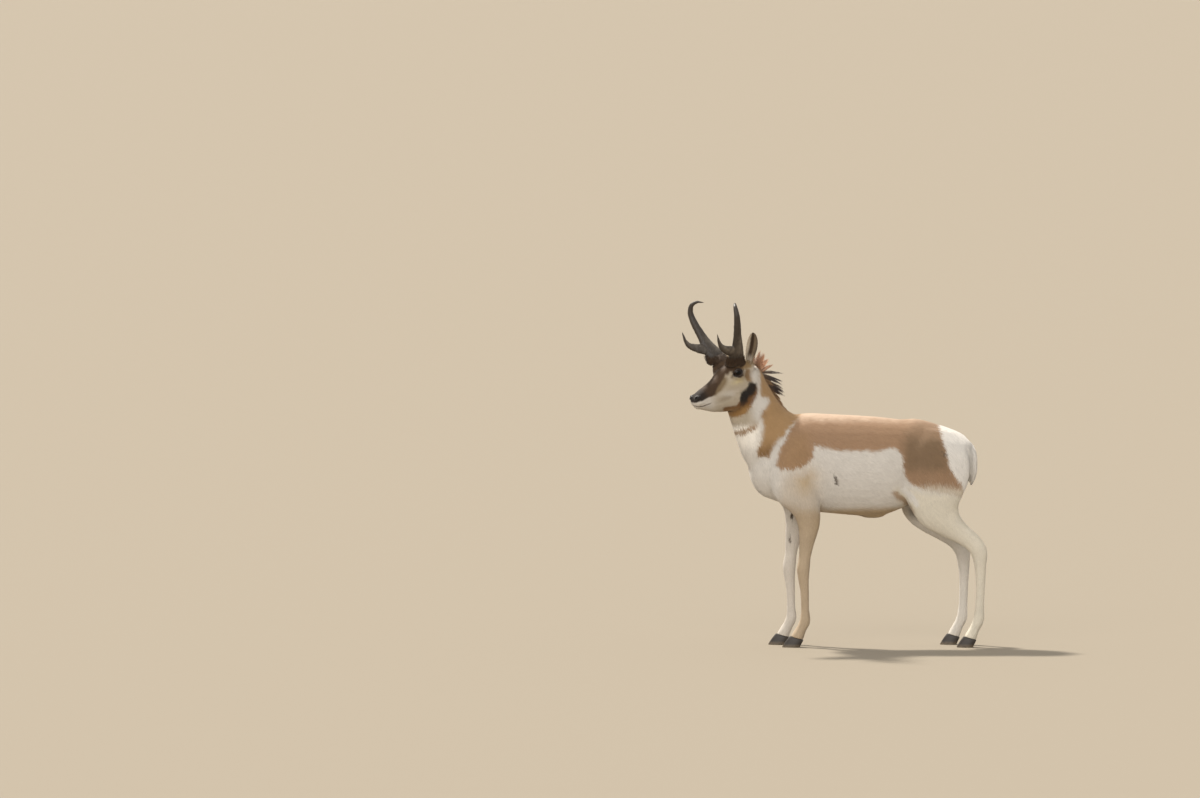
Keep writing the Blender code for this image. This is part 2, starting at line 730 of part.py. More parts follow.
def eye_opening(name, matrix):
    """An almond-shaped cutter along the eye's line of sight, pointed ahead and behind."""
    half_length, half_height = EYE_OPENING
    work = bmesh.new()
    ring = []
    for k in range(LID_SIDES):
        angle = 2 * math.pi * k / LID_SIDES
        height = math.sin(angle) * half_height * (1 - LID_POINT * abs(math.cos(angle)) ** 3)
        ring.append(work.verts.new((math.cos(angle) * half_length, height, LID_DEPTH)))
    face = work.faces.new(ring)
    made = bmesh.ops.extrude_face_region(work, geom=[face])
    moved = [v for v in made["geom"] if isinstance(v, bmesh.types.BMVert)]
    bmesh.ops.translate(work, vec=(0, 0, EYE_RADIUS * 2), verts=moved)
    bmesh.ops.scale(work, vec=(LID_FLARE, LID_FLARE, 1), verts=moved)
    bmesh.ops.recalc_face_normals(work, faces=work.faces)
    bmesh.ops.transform(work, matrix=matrix, verts=work.verts)
    return object_from(name, mesh_from(name, work))


def groove(name, points, radius, surface):
    """A thin tube along points of the head, each moved to the surface, to be cut away as a furrow."""
    tree = BVHTree.FromObject(surface, bpy.context.evaluated_depsgraph_get())
    rows = []
    for point in points:
        near = tree.find_nearest(Vector(point))[0]
        rows.append((*near, radius, radius, radius))
    rows[-1] = (*rows[-1][:3], radius * 0.3, radius * 0.3, radius * 0.3)
    return loft(name, rows, 8, 2)


def swollen(thing, name):
    """A copy of a thing that is a gap and a bit bigger all round, as its facets cut its corners."""
    work = bmesh.new()
    work.from_mesh(thing.data)
    work.normal_update()
    for vertex in work.verts:
        vertex.co += vertex.normal * (1.5 * GAP)
    return object_from(name, mesh_from(name, work))


def seat_cutter(name, thing, root, up, reach):
    """The hull of a thing's foot, a gap wider than the foot, to cut the recess that it stands in."""
    work = bmesh.new()
    for vertex in thing.data.vertices:
        if (vertex.co - root).dot(up) < reach:
            work.verts.new(vertex.co)
    made = bmesh.ops.convex_hull(work, input=work.verts)
    inside = {*made["geom_interior"], *made["geom_unused"]}
    spare = [part for part in inside if isinstance(part, bmesh.types.BMVert)]
    bmesh.ops.delete(work, geom=spare, context="VERTS")
    bmesh.ops.recalc_face_normals(work, faces=work.faces)
    hull = object_from("hull", mesh_from("hull", work))
    seat = swollen(hull, name)
    bpy.data.objects.remove(hull)
    return seat


def make_horn(name, side):
    """A horn with its prong, as one skin that runs smoothly from the one into the other."""
    pieces = [loft("beam", HORN_BEAM, 24, 4), loft("prong", HORN_PRONG, 16, 4, None, HORN_LEAN)]
    horn = fused(name, pieces, HORN_VOXEL, 3, HORN_TRIANGLES)
    largest_body(horn)
    if side < 0:
        flip(horn)
    return placed(horn, turned_frame(on_side(HORN_ROOT, side)))


def ear_rings(up, opens):
    """Rings of points round an ear's cup, outer skin then inner skin, from its root to its tip."""
    up = up.normalized()
    opens = (opens - up * opens.dot(up)).normalized()
    across = up.cross(opens)
    rings = []
    for share, half_angle, radius in eased(EAR_CUP, 2):
        bend = -EAR_LEAN * math.sin(math.pi * min(1, max(0, share)))
        middle = up * (share * EAR_LENGTH) + opens * (bend + radius * EAR_MIDDLE_AHEAD)
        outer, inner = [], []
        thickness = EAR_THICKNESS * (EAR_ROOT_THICKER - EAR_TIP_THINNER * share)
        for k in range(EAR_COLUMNS):
            place = 2 * k / (EAR_COLUMNS - 1) - 1
            angle = math.radians(half_angle) * place
            ray = across * math.sin(angle) - opens * math.cos(angle)
            outer.append(middle + ray * radius)
            rim = 1 - EAR_RIM_THINNER * abs(place) ** 3
            inner.append(middle + ray * (radius - thickness * rim))
        rings.append(outer + inner[::-1])
    return rings


def make_ear(name):
    """An ear as a cupped leaf of even thickness, closed at its rim, tip and root."""
    side, up, opens = EARS[name]
    work = bmesh.new()
    rings = [[work.verts.new(p) for p in ring] for ring in ear_rings(up, opens)]
    for low, high in zip(rings, rings[1:]):
        count = len(low)
        for k in range(count):
            nxt = (k + 1) % count
            work.faces.new((low[k], low[nxt], high[nxt], high[k]))
    work.faces.new(rings[0])
    work.faces.new(rings[-1][::-1])
    bmesh.ops.triangulate(work, faces=work.faces)
    bmesh.ops.recalc_face_normals(work, faces=work.faces)
    ear = object_from(name, mesh_from(name, work))
    if side < 0:
        flip(ear)
    return placed(ear, turned_frame(on_side(EAR_ROOT, side)))


def make_head(horns, ears):
    """The head in its own frame: lofted, swelled, fused and furrowed, then cut for what it carries."""
    pieces = [loft("skull", barrel_rows(SKULL), 32, 4, squareness=SKULL_SQUARENESS)]
    for name, (centre, radii) in HEAD_SWELLINGS.items():
        for side in (1, -1):
            pieces.append(ellipsoid(name, on_side(centre, side), radii))
    pieces.append(ellipsoid("chin", *CHIN))
    pieces.append(placed(loft("neck_stub", NECK, 32), head_matrix().inverted()))
    head = fused("head", pieces, HEAD_VOXEL, 15, HEAD_TRIANGLES)
    cutters = []
    for side in (1, -1):
        mouth = [on_side(point, side) for point in MOUTH_LINE]
        cutters.append(groove("mouth_line", mouth, MOUTH_GROOVE_RADIUS, head))
        for name, rows in (("nostril", NOSTRIL), ("slit", NOSTRIL_SLIT)):
            cutters.append(loft(name, [(*on_side(row[:3], side), *row[3:]) for row in rows], 12, 2))
        cutters.append(ball("eye_socket", EYE_RADIUS + GAP, eye_frame(side)))
        cutters.append(eye_opening("lids_opening", eye_frame(side)))
    cut_away(head, cutters)
    placed(head, head_matrix())
    upright = Vector((0, 0, 1))
    seats = []
    for side, horn, ear in zip((1, -1), horns, ears):
        horn_root = head_matrix() @ on_side(HORN_ROOT, side)
        ear_root = head_matrix() @ on_side(EAR_ROOT, side)
        seats.append(seat_cutter("horn_seat", horn, horn_root, upright, HORN_SEAT_DEPTH))
        ear_up = turned_frame(Vector((0, 0, 0))).to_3x3() @ on_side(EARS[ear.name][1], side)
        seats.append(seat_cutter("ear_seat", ear, ear_root, ear_up.normalized(), EAR_SEAT_DEPTH))
    cut_away(head, seats)
    point, normal = head_plane()
    return kept_on_side(head, point, -normal)


def make_eye(name, side):
    return placed(ball(name, EYE_RADIUS, eye_frame(side)), head_matrix())


def lock(root, ahead, droop, across, length):
    """A flat tapered lock from a sunk root: widest past its middle and bent by droop towards its tip."""
    path = []
    for i in range(LOCK_SPANS + 1):
        share = i / LOCK_SPANS
        centre = root + ahead * (length * share) + droop * (length * share**2)
        width = MANE_HALF_WIDTH * (0.8 + 0.55 * share) * (1 - share**2.6)
        thick = MANE_HALF_THICKNESS * (1.2 - share)
        path.append((centre, max(width, LOCK_TIP), max(thick, LOCK_TIP)))
    work = bmesh.new()
    rings = []
    for i, (centre, width, thick) in enumerate(path):
        heading = path[min(i + 1, LOCK_SPANS)][0] - path[max(i - 1, 0)][0]
        up = heading.normalized().cross(across).normalized()
        ring = (across * width, up * thick, across * -width, up * -thick)
        rings.append([work.verts.new(centre + corner) for corner in ring])
    for low, high in zip(rings, rings[1:]):
        for k in range(4):
            nxt = (k + 1) % 4
            work.faces.new((low[k], low[nxt], high[nxt], high[k]))
    work.faces.new(rings[0])
    work.faces.new(rings[-1][::-1])
    bmesh.ops.triangulate(work, faces=work.faces)
    bmesh.ops.recalc_face_normals(work, faces=work.faces)
    return object_from("lock", mesh_from("lock", work))


def mane_locks(neck):
    """Locks down the crest of the neck: upright by the ears, lying back and down lower on."""
    chance = np.random.default_rng(MANE_SEED)
    tree = BVHTree.FromObject(neck, bpy.context.evaluated_depsgraph_get())
    locks = []
    for share, lift, length in MANE_ROWS:
        turn = HEAD_TURN * (1 - share)
        side_way = Vector((math.cos(turn), math.sin(turn), 0))
        back_way = Vector((-math.sin(turn), math.cos(turn), 0))
        for across in MANE_COLUMNS:
            spot = MANE_TOP.lerp(MANE_END, share + (HALF_ROW if across else 0.0))
            spot += side_way * across + back_way * 0.03
            surface, normal = tree.find_nearest(spot)[:2]
            rise = math.radians(lift + chance.uniform(*LOCK_STRAY))
            splay = across * LOCK_SPLAY + chance.uniform(-0.10, 0.10)
            ahead = back_way * math.cos(rise) + Vector((0, 0, math.sin(rise))) + side_way * splay
            ahead = ahead.normalized()
            if ahead.dot(normal) < LOCK_LEAST_RISE:
                ahead = (ahead + normal * LOCK_LEAST_RISE).normalized()
            roll = math.radians(chance.uniform(*LOCK_ROLL)) * (1 if across > 0 else -1)
            flat = Matrix.Rotation(roll, 3, ahead) @ side_way
            flat = (flat - ahead * flat.dot(ahead)).normalized()
            bend = chance.uniform(*LOCK_BEND)
            droop = Vector((0, 0, -bend)) + back_way * (bend * 0.3 * (1 - share))
            size = length * chance.uniform(0.92, 1.12)
            locks.append(lock(surface - normal * LOCK_ROOT_DEPTH, ahead, droop, flat, size))
    return locks


def with_locks(node, locks):
    """The node and its locks as one closed body."""
    group = bpy.data.collections.new("locks")
    bpy.context.scene.collection.children.link(group)
    for piece in locks:
        bpy.context.scene.collection.objects.unlink(piece)
        group.objects.link(piece)
    step = node.modifiers.new("union", "BOOLEAN")
    step.operation = "UNION"
    step.operand_type = "COLLECTION"
    step.collection = group
    step.solver = "EXACT"
    settle(node)
    for piece in locks:
        bpy.data.objects.remove(piece)
    bpy.data.collections.remove(group)
    return largest_body(node)


def make_neck(flesh):
    neck = copy_of(flesh, "neck")
    base, upward = neck_plane()
    kept_on_side(neck, base, upward)
    with_locks(neck, mane_locks(neck))
    kept_on_side(neck, base, upward)
    top, downward = head_plane()
    return kept_on_side(neck, top, downward)


def finish(thing, colour, smooth=math.radians(50)):
    thing.data.materials.clear()
    thing.data.materials.append(material(colour))
    thing.data.shade_smooth()
    thing.data.set_sharp_from_angle(angle=smooth)


def centre_on_floor(things):
    """Moves everything so that the bounding box's bottom centre is at the origin."""
    points = np.array([v.co for thing in things for v in thing.data.vertices])
    low, high = points.min(axis=0), points.max(axis=0)
    middle = Vector(((low[0] + high[0]) / 2, (low[1] + high[1]) / 2, low[2]))
    for thing in things:
        thing.data.transform(Matrix.Translation(-middle))
    print("the body frame's origin is at", [round(-v, 5) for v in middle])


def main():
    clear_scene()
    horns = [make_horn("horn_left", 1), make_horn("horn_right", -1)]
    ears = [make_ear("ear_left"), make_ear("ear_right")]
    flesh = make_flesh()
    coat_nodes = [make_head(horns, ears), make_neck(flesh)]
    legs = make_legs(flesh)
    torso = make_torso(flesh)
    tail = loft("tail", TAIL, 14, 2)
    cut_away(torso, [swollen(tail, "tail_seat")])
    bpy.data.objects.remove(flesh)
    coat_nodes.append(torso)
    hooves = []
    for leg in legs:
        floor_point = coronet_point(leg.name)
        plane_normal = Vector((0, -CORONET_SLOPE, 1))
        cut = kept_on_side(leg, floor_point, plane_normal)
        coat_nodes.append(cut)
        for place, inner in (("inner", True), ("outer", False)):
            hooves.append(claw(f"hoof_{leg.name}_{place}", leg.name, inner))
    eyes = [make_eye("eye_left", 1), make_eye("eye_right", -1)]
    for thing in coat_nodes:
        finish(thing, "coat_tan")
    finish(tail, "coat_white")
    for thing in ears:
        finish(thing, "coat_tan")
    for thing in horns:
        finish(thing, "horn")
    for thing in eyes:
        finish(thing, "eye")
    for thing in hooves:
        finish(thing, "hoof", math.radians(35))
    centre_on_floor([*coat_nodes, tail, *horns, *ears, *eyes, *hooves])


main()
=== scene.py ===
# %% [markdown]
# # A pronghorn buck, standing
# This lesson dresses a life-size model of a pronghorn. The solids underneath give its true shape:
# trunk, neck, head, legs, ears, tail, horns, eyes and hooves. Here they get what the real animal
# shows: one skin without seams, a coat of small tufts with its markings, a mane, wet dark eyes
# with lids, ridged black horns and worn hooves.

# %% Load the solids
import math

import bmesh
import bpy
import numpy as np
from mathutils import Matrix, Vector
from mathutils.bvhtree import BVHTree


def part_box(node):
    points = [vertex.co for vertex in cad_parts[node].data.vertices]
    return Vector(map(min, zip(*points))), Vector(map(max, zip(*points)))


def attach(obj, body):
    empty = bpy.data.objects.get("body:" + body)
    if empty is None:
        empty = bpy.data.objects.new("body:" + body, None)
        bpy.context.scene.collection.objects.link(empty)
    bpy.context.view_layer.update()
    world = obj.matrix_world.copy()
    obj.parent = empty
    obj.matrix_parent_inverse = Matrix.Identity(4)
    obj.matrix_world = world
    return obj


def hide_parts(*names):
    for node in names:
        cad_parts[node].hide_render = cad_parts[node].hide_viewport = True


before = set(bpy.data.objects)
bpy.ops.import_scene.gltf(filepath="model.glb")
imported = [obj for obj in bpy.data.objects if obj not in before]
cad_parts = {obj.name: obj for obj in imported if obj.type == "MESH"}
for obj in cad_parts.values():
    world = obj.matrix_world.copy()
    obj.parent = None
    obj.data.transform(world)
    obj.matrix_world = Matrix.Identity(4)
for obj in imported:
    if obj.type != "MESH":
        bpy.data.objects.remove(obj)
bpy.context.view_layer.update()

# %% [markdown]

# %% [markdown]
# ## Where things are
# The animal looks along -Y with its left side towards +X. Body places are easiest to read from the
# side, as distances along the body and above the floor, and face places in a frame of the head's
# own: x to its left, y back from the tip of the nose, z up through the forehead. Both are brought
# into the frame of the solids by finding where the left eye came out in it.

# %% The body's own frame and the head's
HEAD_TURN = math.radians(38)
HEAD_PITCH = math.radians(15)
NOSE_TIP = Vector((0.176, -0.631, 0.933))
EYE_PLACE = Vector((0.0492, 0.1965, 0.0455))
EYE_LOOK = Vector((0.92, -0.36, 0.06))
EYE_RADIUS = 0.0205

own_head = (
    Matrix.Translation(NOSE_TIP)
    @ Matrix.Rotation(HEAD_TURN, 4, "Z")
    @ Matrix.Rotation(HEAD_PITCH, 4, "X")
)
low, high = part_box("eye_left")
BODY_SHIFT = (low + high) / 2 - own_head @ EYE_PLACE
HEAD = Matrix.Translation(BODY_SHIFT) @ own_head
print("body frame moved by", [round(v, 4) for v in BODY_SHIFT])


def on_side(side, place):
    """A place or a direction given for the left side, mirrored across for side -1."""
    return Vector((side * place[0], place[1], place[2]))


def read_in(base, points):
    """Points of the frame in the coordinates of another base."""
    turn = np.array(base.inverted())
    return points @ turn[:3, :3].T + turn[:3, 3]


def body_places(points):
    """Points of the frame in the body's own coordinates."""
    return points - np.array(BODY_SHIFT)


def head_places(points):
    """Points of the frame in the head's own coordinates, mirrored onto its left side."""
    own = read_in(HEAD, points)
    own[:, 0] = np.abs(own[:, 0])
    return own

# %% [markdown]
# The markings were read from the left side. On the right side they are its mirror image, and
# where the neck turns with the head the mirror turns too: it stands in the neck's own middle.

# %% The neck's rings and its mirror
# Middle of the ring, half width, reach to the throat, reach to the nape, turn in degrees
NECK_RINGS = (
    (0.000, -0.275, 0.705, 0.080, 0.130, 0.135, 0),
    (0.000, -0.332, 0.770, 0.084, 0.126, 0.136, 0),
    (0.002, -0.372, 0.830, 0.078, 0.106, 0.112, 4),
    (0.006, -0.402, 0.893, 0.070, 0.095, 0.098, 12),
    (0.014, -0.424, 0.953, 0.064, 0.094, 0.090, 24),
    (0.022, -0.434, 1.005, 0.059, 0.082, 0.078, 34),
    (0.026, -0.440, 1.040, 0.048, 0.060, 0.055, 38),
)


def ramp(low, high, values):
    share = np.clip((values - low) / (high - low), 0, 1)
    return share * share * (3 - 2 * share)


def near_side(own):
    """Body points mirrored onto the left side, across the neck's middle where it turns."""
    rings = np.array(NECK_RINGS)
    on_neck = ramp(-0.20, -0.28, own[:, 1])
    middle_x = np.interp(own[:, 2], rings[:, 2], rings[:, 0]) * on_neck
    middle_y = np.interp(own[:, 2], rings[:, 2], rings[:, 1])
    turn = np.radians(np.interp(own[:, 2], rings[:, 2], rings[:, 6])) * on_neck
    across = np.stack([np.cos(turn), np.sin(turn)], axis=1)
    offset = own[:, :2] - np.stack([middle_x, middle_y], axis=1)
    away = np.minimum((offset * across).sum(axis=1), 0)
    mirrored = own.copy()
    mirrored[:, :2] -= 2 * away[:, None] * across
    return mirrored

# %% [markdown]
# ## Camera, floor and light
# The picture was taken from far away with a long lens, from three degrees above, so the camera
# stands 50 m off its left side. The floor is a plain sheet of dull tan. A warm sun beyond the
# animal draws the bright edge along its back and throat, and a broad soft light on the camera's
# side keeps the near flank readable.

# %% Camera at the photo's view
PICTURE = (1200, 798)
PIXELS_A_METRE = 268
BODY_ORIGIN_PIXEL = (860, 646)
CAMERA_LIFT = math.radians(3)
CAMERA_DISTANCE = 49.8
FILM_WIDTH = 36
FARTHEST_SEEN = 1000

aim_y = (PICTURE[0] / 2 - BODY_ORIGIN_PIXEL[0]) / PIXELS_A_METRE
aim_z = (BODY_ORIGIN_PIXEL[1] - PICTURE[1] / 2) / PIXELS_A_METRE / math.cos(CAMERA_LIFT)
aim = BODY_SHIFT + Vector((0, aim_y, aim_z))
back = Vector((math.cos(CAMERA_LIFT), 0, math.sin(CAMERA_LIFT)))
lens = bpy.data.cameras.new("camera")
lens.sensor_width = FILM_WIDTH
lens.lens = FILM_WIDTH * CAMERA_DISTANCE * PIXELS_A_METRE / PICTURE[0]
lens.clip_end = FARTHEST_SEEN
camera = bpy.data.objects.new("camera", lens)
camera.location = aim + back * CAMERA_DISTANCE
camera.rotation_euler = back.to_track_quat("Z", "Y").to_euler()
bpy.context.scene.collection.objects.link(camera)
bpy.context.scene.camera = camera
print("lens", round(lens.lens, 1), "mm")

# %% Helpers for objects and materials
def unit(vectors):
    return vectors / np.maximum(np.linalg.norm(vectors, axis=-1, keepdims=True), 1e-9)


def add_object(name, mesh):
    made = bpy.data.objects.new(name, mesh)
    bpy.context.scene.collection.objects.link(made)
    return made


def write_mesh(work, mesh):
    work.to_mesh(mesh)
    work.free()
    return mesh


def object_from(name, work):
    return add_object(name, write_mesh(work, bpy.data.meshes.new(name)))


def linear(red, green, blue):
    """A colour given as a paint chart gives it, 0 to 255, as the light it sends back."""
    shares = np.array((red, green, blue)) / 255
    return tuple(np.where(shares < 0.04045, shares / 12.92, ((shares + 0.055) / 1.055) ** 2.4))


def set_all(thing, settings):
    for key, value in settings.items():
        setattr(thing, key, value)
    return thing


def with_modifier(thing, kind, **settings):
    set_all(thing.modifiers.new(kind.lower(), kind), settings)
    return thing


def finish_surface(piece, material):
    """Smooth shading and a single material."""
    piece.data.shade_smooth()
    piece.data.materials.clear()
    piece.data.materials.append(material)

# %% [markdown]
# A finish is a recipe of nodes: a grain, an attribute or a place goes in, is worked out, blended
# and scaled, and ends in a socket of the shader. So each kind of node gets a short helper that
# says what is fed into it and gives back what comes out, and a finish then reads as its recipe.

# %% Helpers for shader nodes
def feed(tree, node, sources):
    """Gives each named socket of a node a value, or what comes out of another node."""
    for name, source in sources.items():
        if isinstance(source, bpy.types.NodeSocket):
            tree.links.new(source, node.inputs[name])
        else:
            node.inputs[name].default_value = source


def add_node(tree, kind, sources, out=0, **settings):
    """Adds a node with its settings and sources, and gives back its output of the given name."""
    made = set_all(tree.nodes.new(kind), settings)
    feed(tree, made, sources)
    return made.outputs[out]


def object_place(tree):
    return add_node(tree, "ShaderNodeTexCoord", {}, "Object")


def attribute(tree, name, out="Fac"):
    return add_node(tree, "ShaderNodeAttribute", {}, out, attribute_name=name)


def grain_of(tree, place, scale, detail=2):
    """A noise texture's value."""
    return add_node(tree, "ShaderNodeTexNoise", {"Vector": place, "Scale": scale, "Detail": detail},
                    "Fac")


def work_out(tree, operation, *values):
    return add_node(tree, "ShaderNodeMath", dict(enumerate(values)), operation=operation)


def blend(tree, amount, first, second):
    """The first colour where the amount is 0 and the second where it is 1."""
    return add_node(tree, "ShaderNodeMix", {"Factor": amount, "A": first, "B": second}, "Result",
                    data_type="RGBA")


def between(tree, amount, low, high):
    """A value that runs from low to high as the amount runs from 0 to 1."""
    return add_node(tree, "ShaderNodeMapRange", {"Value": amount, "To Min": low, "To Max": high})


def paint(red, green, blue):
    """A paint chart's colour as a colour socket takes it."""
    return (*linear(red, green, blue), 1)


def new_material(name, roughness):
    made = bpy.data.materials.new(name)
    made.use_nodes = True
    shader = made.node_tree.nodes["Principled BSDF"]
    feed(made.node_tree, shader, {"Roughness": roughness})
    return made, made.node_tree, shader


def add_relief(tree, shader, height, distance, strength=1.0):
    """Small bumps where the height says, as deep as the distance."""
    normal = add_node(tree, "ShaderNodeBump",
                      {"Height": height, "Distance": distance, "Strength": strength})
    feed(tree, shader, {"Normal": normal})

# %% Floor and lights
FLOOR_REACH = 400
FLOOR_PAINT = paint(142, 131, 114)

work = bmesh.new()
bmesh.ops.create_grid(work, x_segments=1, y_segments=1, size=FLOOR_REACH)
floor = object_from("floor", work)
floor_material, tree, shader = new_material("plain_floor", 0.9)
feed(tree, shader, {"Base Color": FLOOR_PAINT})
floor.data.materials.append(floor_material)


def add_sun(name, towards, strength, colour, spread):
    """A light from far away, given by the direction in which it is seen."""
    light = bpy.data.lights.new(name, "SUN")
    set_all(light, {"energy": strength, "color": colour, "angle": math.radians(spread)})
    made = bpy.data.objects.new(name, light)
    made.rotation_euler = Vector(towards).to_track_quat("Z", "Y").to_euler()
    bpy.context.scene.collection.objects.link(made)


add_sun("back_light", (-0.46, -0.40, 0.80), strength=4.8, colour=(1.0, 0.95, 0.87), spread=5)
add_sun("front_fill", (0.90, -0.20, 0.40), strength=1.35, colour=(1.0, 0.985, 0.965), spread=50)
world = bpy.data.worlds.new("studio_air")
world.use_nodes = True
feed(world.node_tree, world.node_tree.nodes["Background"],
     {"Color": paint(226, 224, 220), "Strength": 0.95})
bpy.context.scene.world = world
bpy.context.scene.view_settings.view_transform = "Standard"
print("floor, two suns and a pale surrounding")

# %% [markdown]
# ## How the coat lies
# Hair grows in streams. It leaves the nose backwards, turns down the cheeks and the neck, sweeps
# back over the ribs and runs straight down the legs. A few places are enough to describe it: each
# has the way the hair points, its length, and how deep the coat is. Between them the values are
# blended by distance.

# %% Hair at named places of the body and head
# Place, the way the hair points, its length, the coat's depth
BODY_HAIR = {
    "nape": ((0.000, -0.355, 1.020), (-0.20, 0.55, -0.80), 0.028, 0.0019),
    "upper neck": ((0.075, -0.400, 0.950), (0.00, 0.40, -0.92), 0.026, 0.0019),
    "throat": ((0.020, -0.505, 0.900), (0.00, 0.10, -1.00), 0.026, 0.0017),
    "lower neck": ((0.085, -0.370, 0.800), (0.00, 0.42, -0.91), 0.029, 0.0024),
    "breast": ((0.000, -0.415, 0.700), (0.00, 0.30, -0.95), 0.030, 0.0024),
    "withers": ((0.000, -0.210, 0.870), (0.00, 1.00, -0.15), 0.030, 0.0025),
    "shoulder": ((0.115, -0.230, 0.740), (0.00, 0.55, -0.84), 0.025, 0.0022),
    "elbow": ((0.120, -0.210, 0.600), (0.00, 0.30, -0.95), 0.020, 0.0016),
    "ribs": ((0.130, 0.000, 0.690), (0.00, 0.90, -0.43), 0.026, 0.0022),
    "back": ((0.000, 0.000, 0.860), (0.00, 1.00, -0.05), 0.028, 0.0025),
    "loin": ((0.000, 0.180, 0.850), (0.00, 1.00, -0.10), 0.028, 0.0025),
    "belly": ((0.000, 0.020, 0.490), (0.00, 1.00, 0.10), 0.026, 0.0019),
    "flank": ((0.115, 0.165, 0.620), (0.00, 0.65, -0.76), 0.026, 0.0020),
    "hip": ((0.110, 0.270, 0.730), (0.00, 0.60, -0.80), 0.025, 0.0022),
    "croup": ((0.000, 0.345, 0.810), (0.00, 0.80, -0.60), 0.040, 0.0030),
    "rump": ((0.070, 0.395, 0.700), (0.30, 0.45, -0.85), 0.042, 0.0029),
    "thigh": ((0.125, 0.270, 0.590), (0.00, 0.30, -0.95), 0.022, 0.0017),
    "gaskin": ((0.115, 0.310, 0.490), (0.00, 0.55, -0.84), 0.017, 0.0011),
    "hock": ((0.100, 0.420, 0.390), (0.00, 0.30, -0.95), 0.012, 0.0006),
    "hind cannon": ((0.090, 0.445, 0.230), (0.00, 0.00, -1.00), 0.010, 0.0004),
    "hind pastern": ((0.090, 0.425, 0.070), (0.00, -0.40, -0.92), 0.011, 0.0004),
    "forearm": ((0.105, -0.200, 0.460), (0.00, 0.10, -1.00), 0.014, 0.0008),
    "knee": ((0.090, -0.225, 0.300), (0.00, 0.00, -1.00), 0.010, 0.0004),
    "fore cannon": ((0.085, -0.207, 0.180), (0.00, 0.00, -1.00), 0.010, 0.0004),
    "fore pastern": ((0.085, -0.225, 0.070), (0.00, -0.40, -0.92), 0.011, 0.0004),
    "tail root": ((0.000, 0.405, 0.750), (0.00, 0.50, -0.87), 0.040, 0.0019),
    "tail tip": ((0.000, 0.420, 0.620), (0.00, 0.00, -1.00), 0.042, 0.0016),
}
HEAD_HAIR = {
    "nose": ((0.000, 0.010, 0.004), (0.00, 1.00, 0.30), 0.0040, 0.0005),
    "bridge": ((0.000, 0.080, 0.036), (0.00, 1.00, 0.25), 0.0070, 0.0008),
    "lip": ((0.026, 0.035, -0.025), (0.00, 1.00, -0.15), 0.0055, 0.0006),
    "chin": ((0.000, 0.030, -0.052), (0.00, 0.90, -0.40), 0.0080, 0.0008),
    "muzzle": ((0.033, 0.080, -0.015), (0.00, 1.00, -0.10), 0.0080, 0.0008),
    "under jaw": ((0.020, 0.120, -0.090), (0.00, 1.00, -0.20), 0.0130, 0.0015),
    "cheek": ((0.054, 0.165, -0.020), (0.00, 0.90, -0.40), 0.0110, 0.0012),
    "forehead": ((0.000, 0.150, 0.066), (0.05, 0.85, 0.50), 0.0110, 0.0014),
    "brow": ((0.055, 0.175, 0.072), (0.20, 0.80, 0.45), 0.0085, 0.0010),
    "crown": ((0.000, 0.240, 0.085), (0.00, 1.00, -0.05), 0.0180, 0.0023),
    "temple": ((0.062, 0.235, 0.030), (0.00, 0.75, -0.60), 0.0130, 0.0015),
    "jaw corner": ((0.055, 0.220, -0.045), (0.00, 0.45, -0.90), 0.0180, 0.0023),
    "throat latch": ((0.040, 0.195, -0.120), (0.00, 0.40, -0.90), 0.0220, 0.0034),
}

# %% Blend the hair between its places
def all_hair():
    """Places, directions, lengths and depths of both tables in the frame, for both sides."""
    rows = []
    for table, base in ((BODY_HAIR, Matrix.Translation(BODY_SHIFT)), (HEAD_HAIR, HEAD)):
        for place, way, length, depth in table.values():
            for side in (1, -1) if place[0] else (1,):
                spot = base @ on_side(side, place)
                lie = base.to_3x3() @ on_side(side, way).normalized()
                rows.append((*spot, *lie, length, depth))
    return np.array(rows)


HAIR = all_hair()
# Square metres: how softly the places blend into each other
HAIR_SOFTNESS = 0.0006
print(len(HAIR), "places describe the coat")


def hair_at(points):
    """The way the hair points, its length and the coat's depth at each point, blended by distance."""
    total = np.zeros((len(points), 5))
    weights = np.zeros(len(points))
    for row in HAIR:
        near = 1 / (((points - row[:3]) ** 2).sum(axis=1) + HAIR_SOFTNESS) ** 2
        total += near[:, None] * row[3:]
        weights += near
    total /= weights[:, None]
    return unit(total[:, :3]), total[:, 3], total[:, 4]

# %% [markdown]
# ## Noise for numbers
# Shader nodes have noise textures, but the tufts are placed and tinted by numbers, so the script
# needs the same kind of soft randomness for points: random values on a lattice, blended between.

# %% Smooth noise at points
# Large primes turn a cell of a lattice into a number that looks drawn at random
LATTICE_PRIMES = np.array([73856093, 19349663, 83492791])


def noise(points, size, seed=0):
    """Smooth random values from -1 to 1 at the points, in bumps about size across."""
    cells = points / size + 31.7 * seed
    corner = np.floor(cells).astype(np.int64)
    share = cells - corner
    share = share * share * (3 - 2 * share)
    total = np.zeros(len(points))
    for step in np.ndindex(2, 2, 2):
        key = (corner + step) @ LATTICE_PRIMES
        key = ((key ^ (key >> 13)) * 1274126177) & 0x7FFFFFFF
        value = ((key ^ (key >> 16)) & 0xFFFF) / 32767.5 - 1
        total += value * np.prod(np.where(step, share, 1 - share), axis=1)
    return total

# %% [markdown]
# ## The markings
# A pronghorn wears tan and brown over white: a saddle down to the middle of the ribs, a brown hip,
# tan legs, white bands on the throat, a black muzzle and a black patch under each ear. Seen from
# the side each marking is an outline, so it is kept as one, in metres along the body and above
# the floor. The edge is roughened by noise because hairs cross it. The same function paints the
# skin and every tuft, so that nothing odd shows between the tufts.

# %% Paints
SHADE_LIFT = 1.07
BEST_WHITE = 0.88


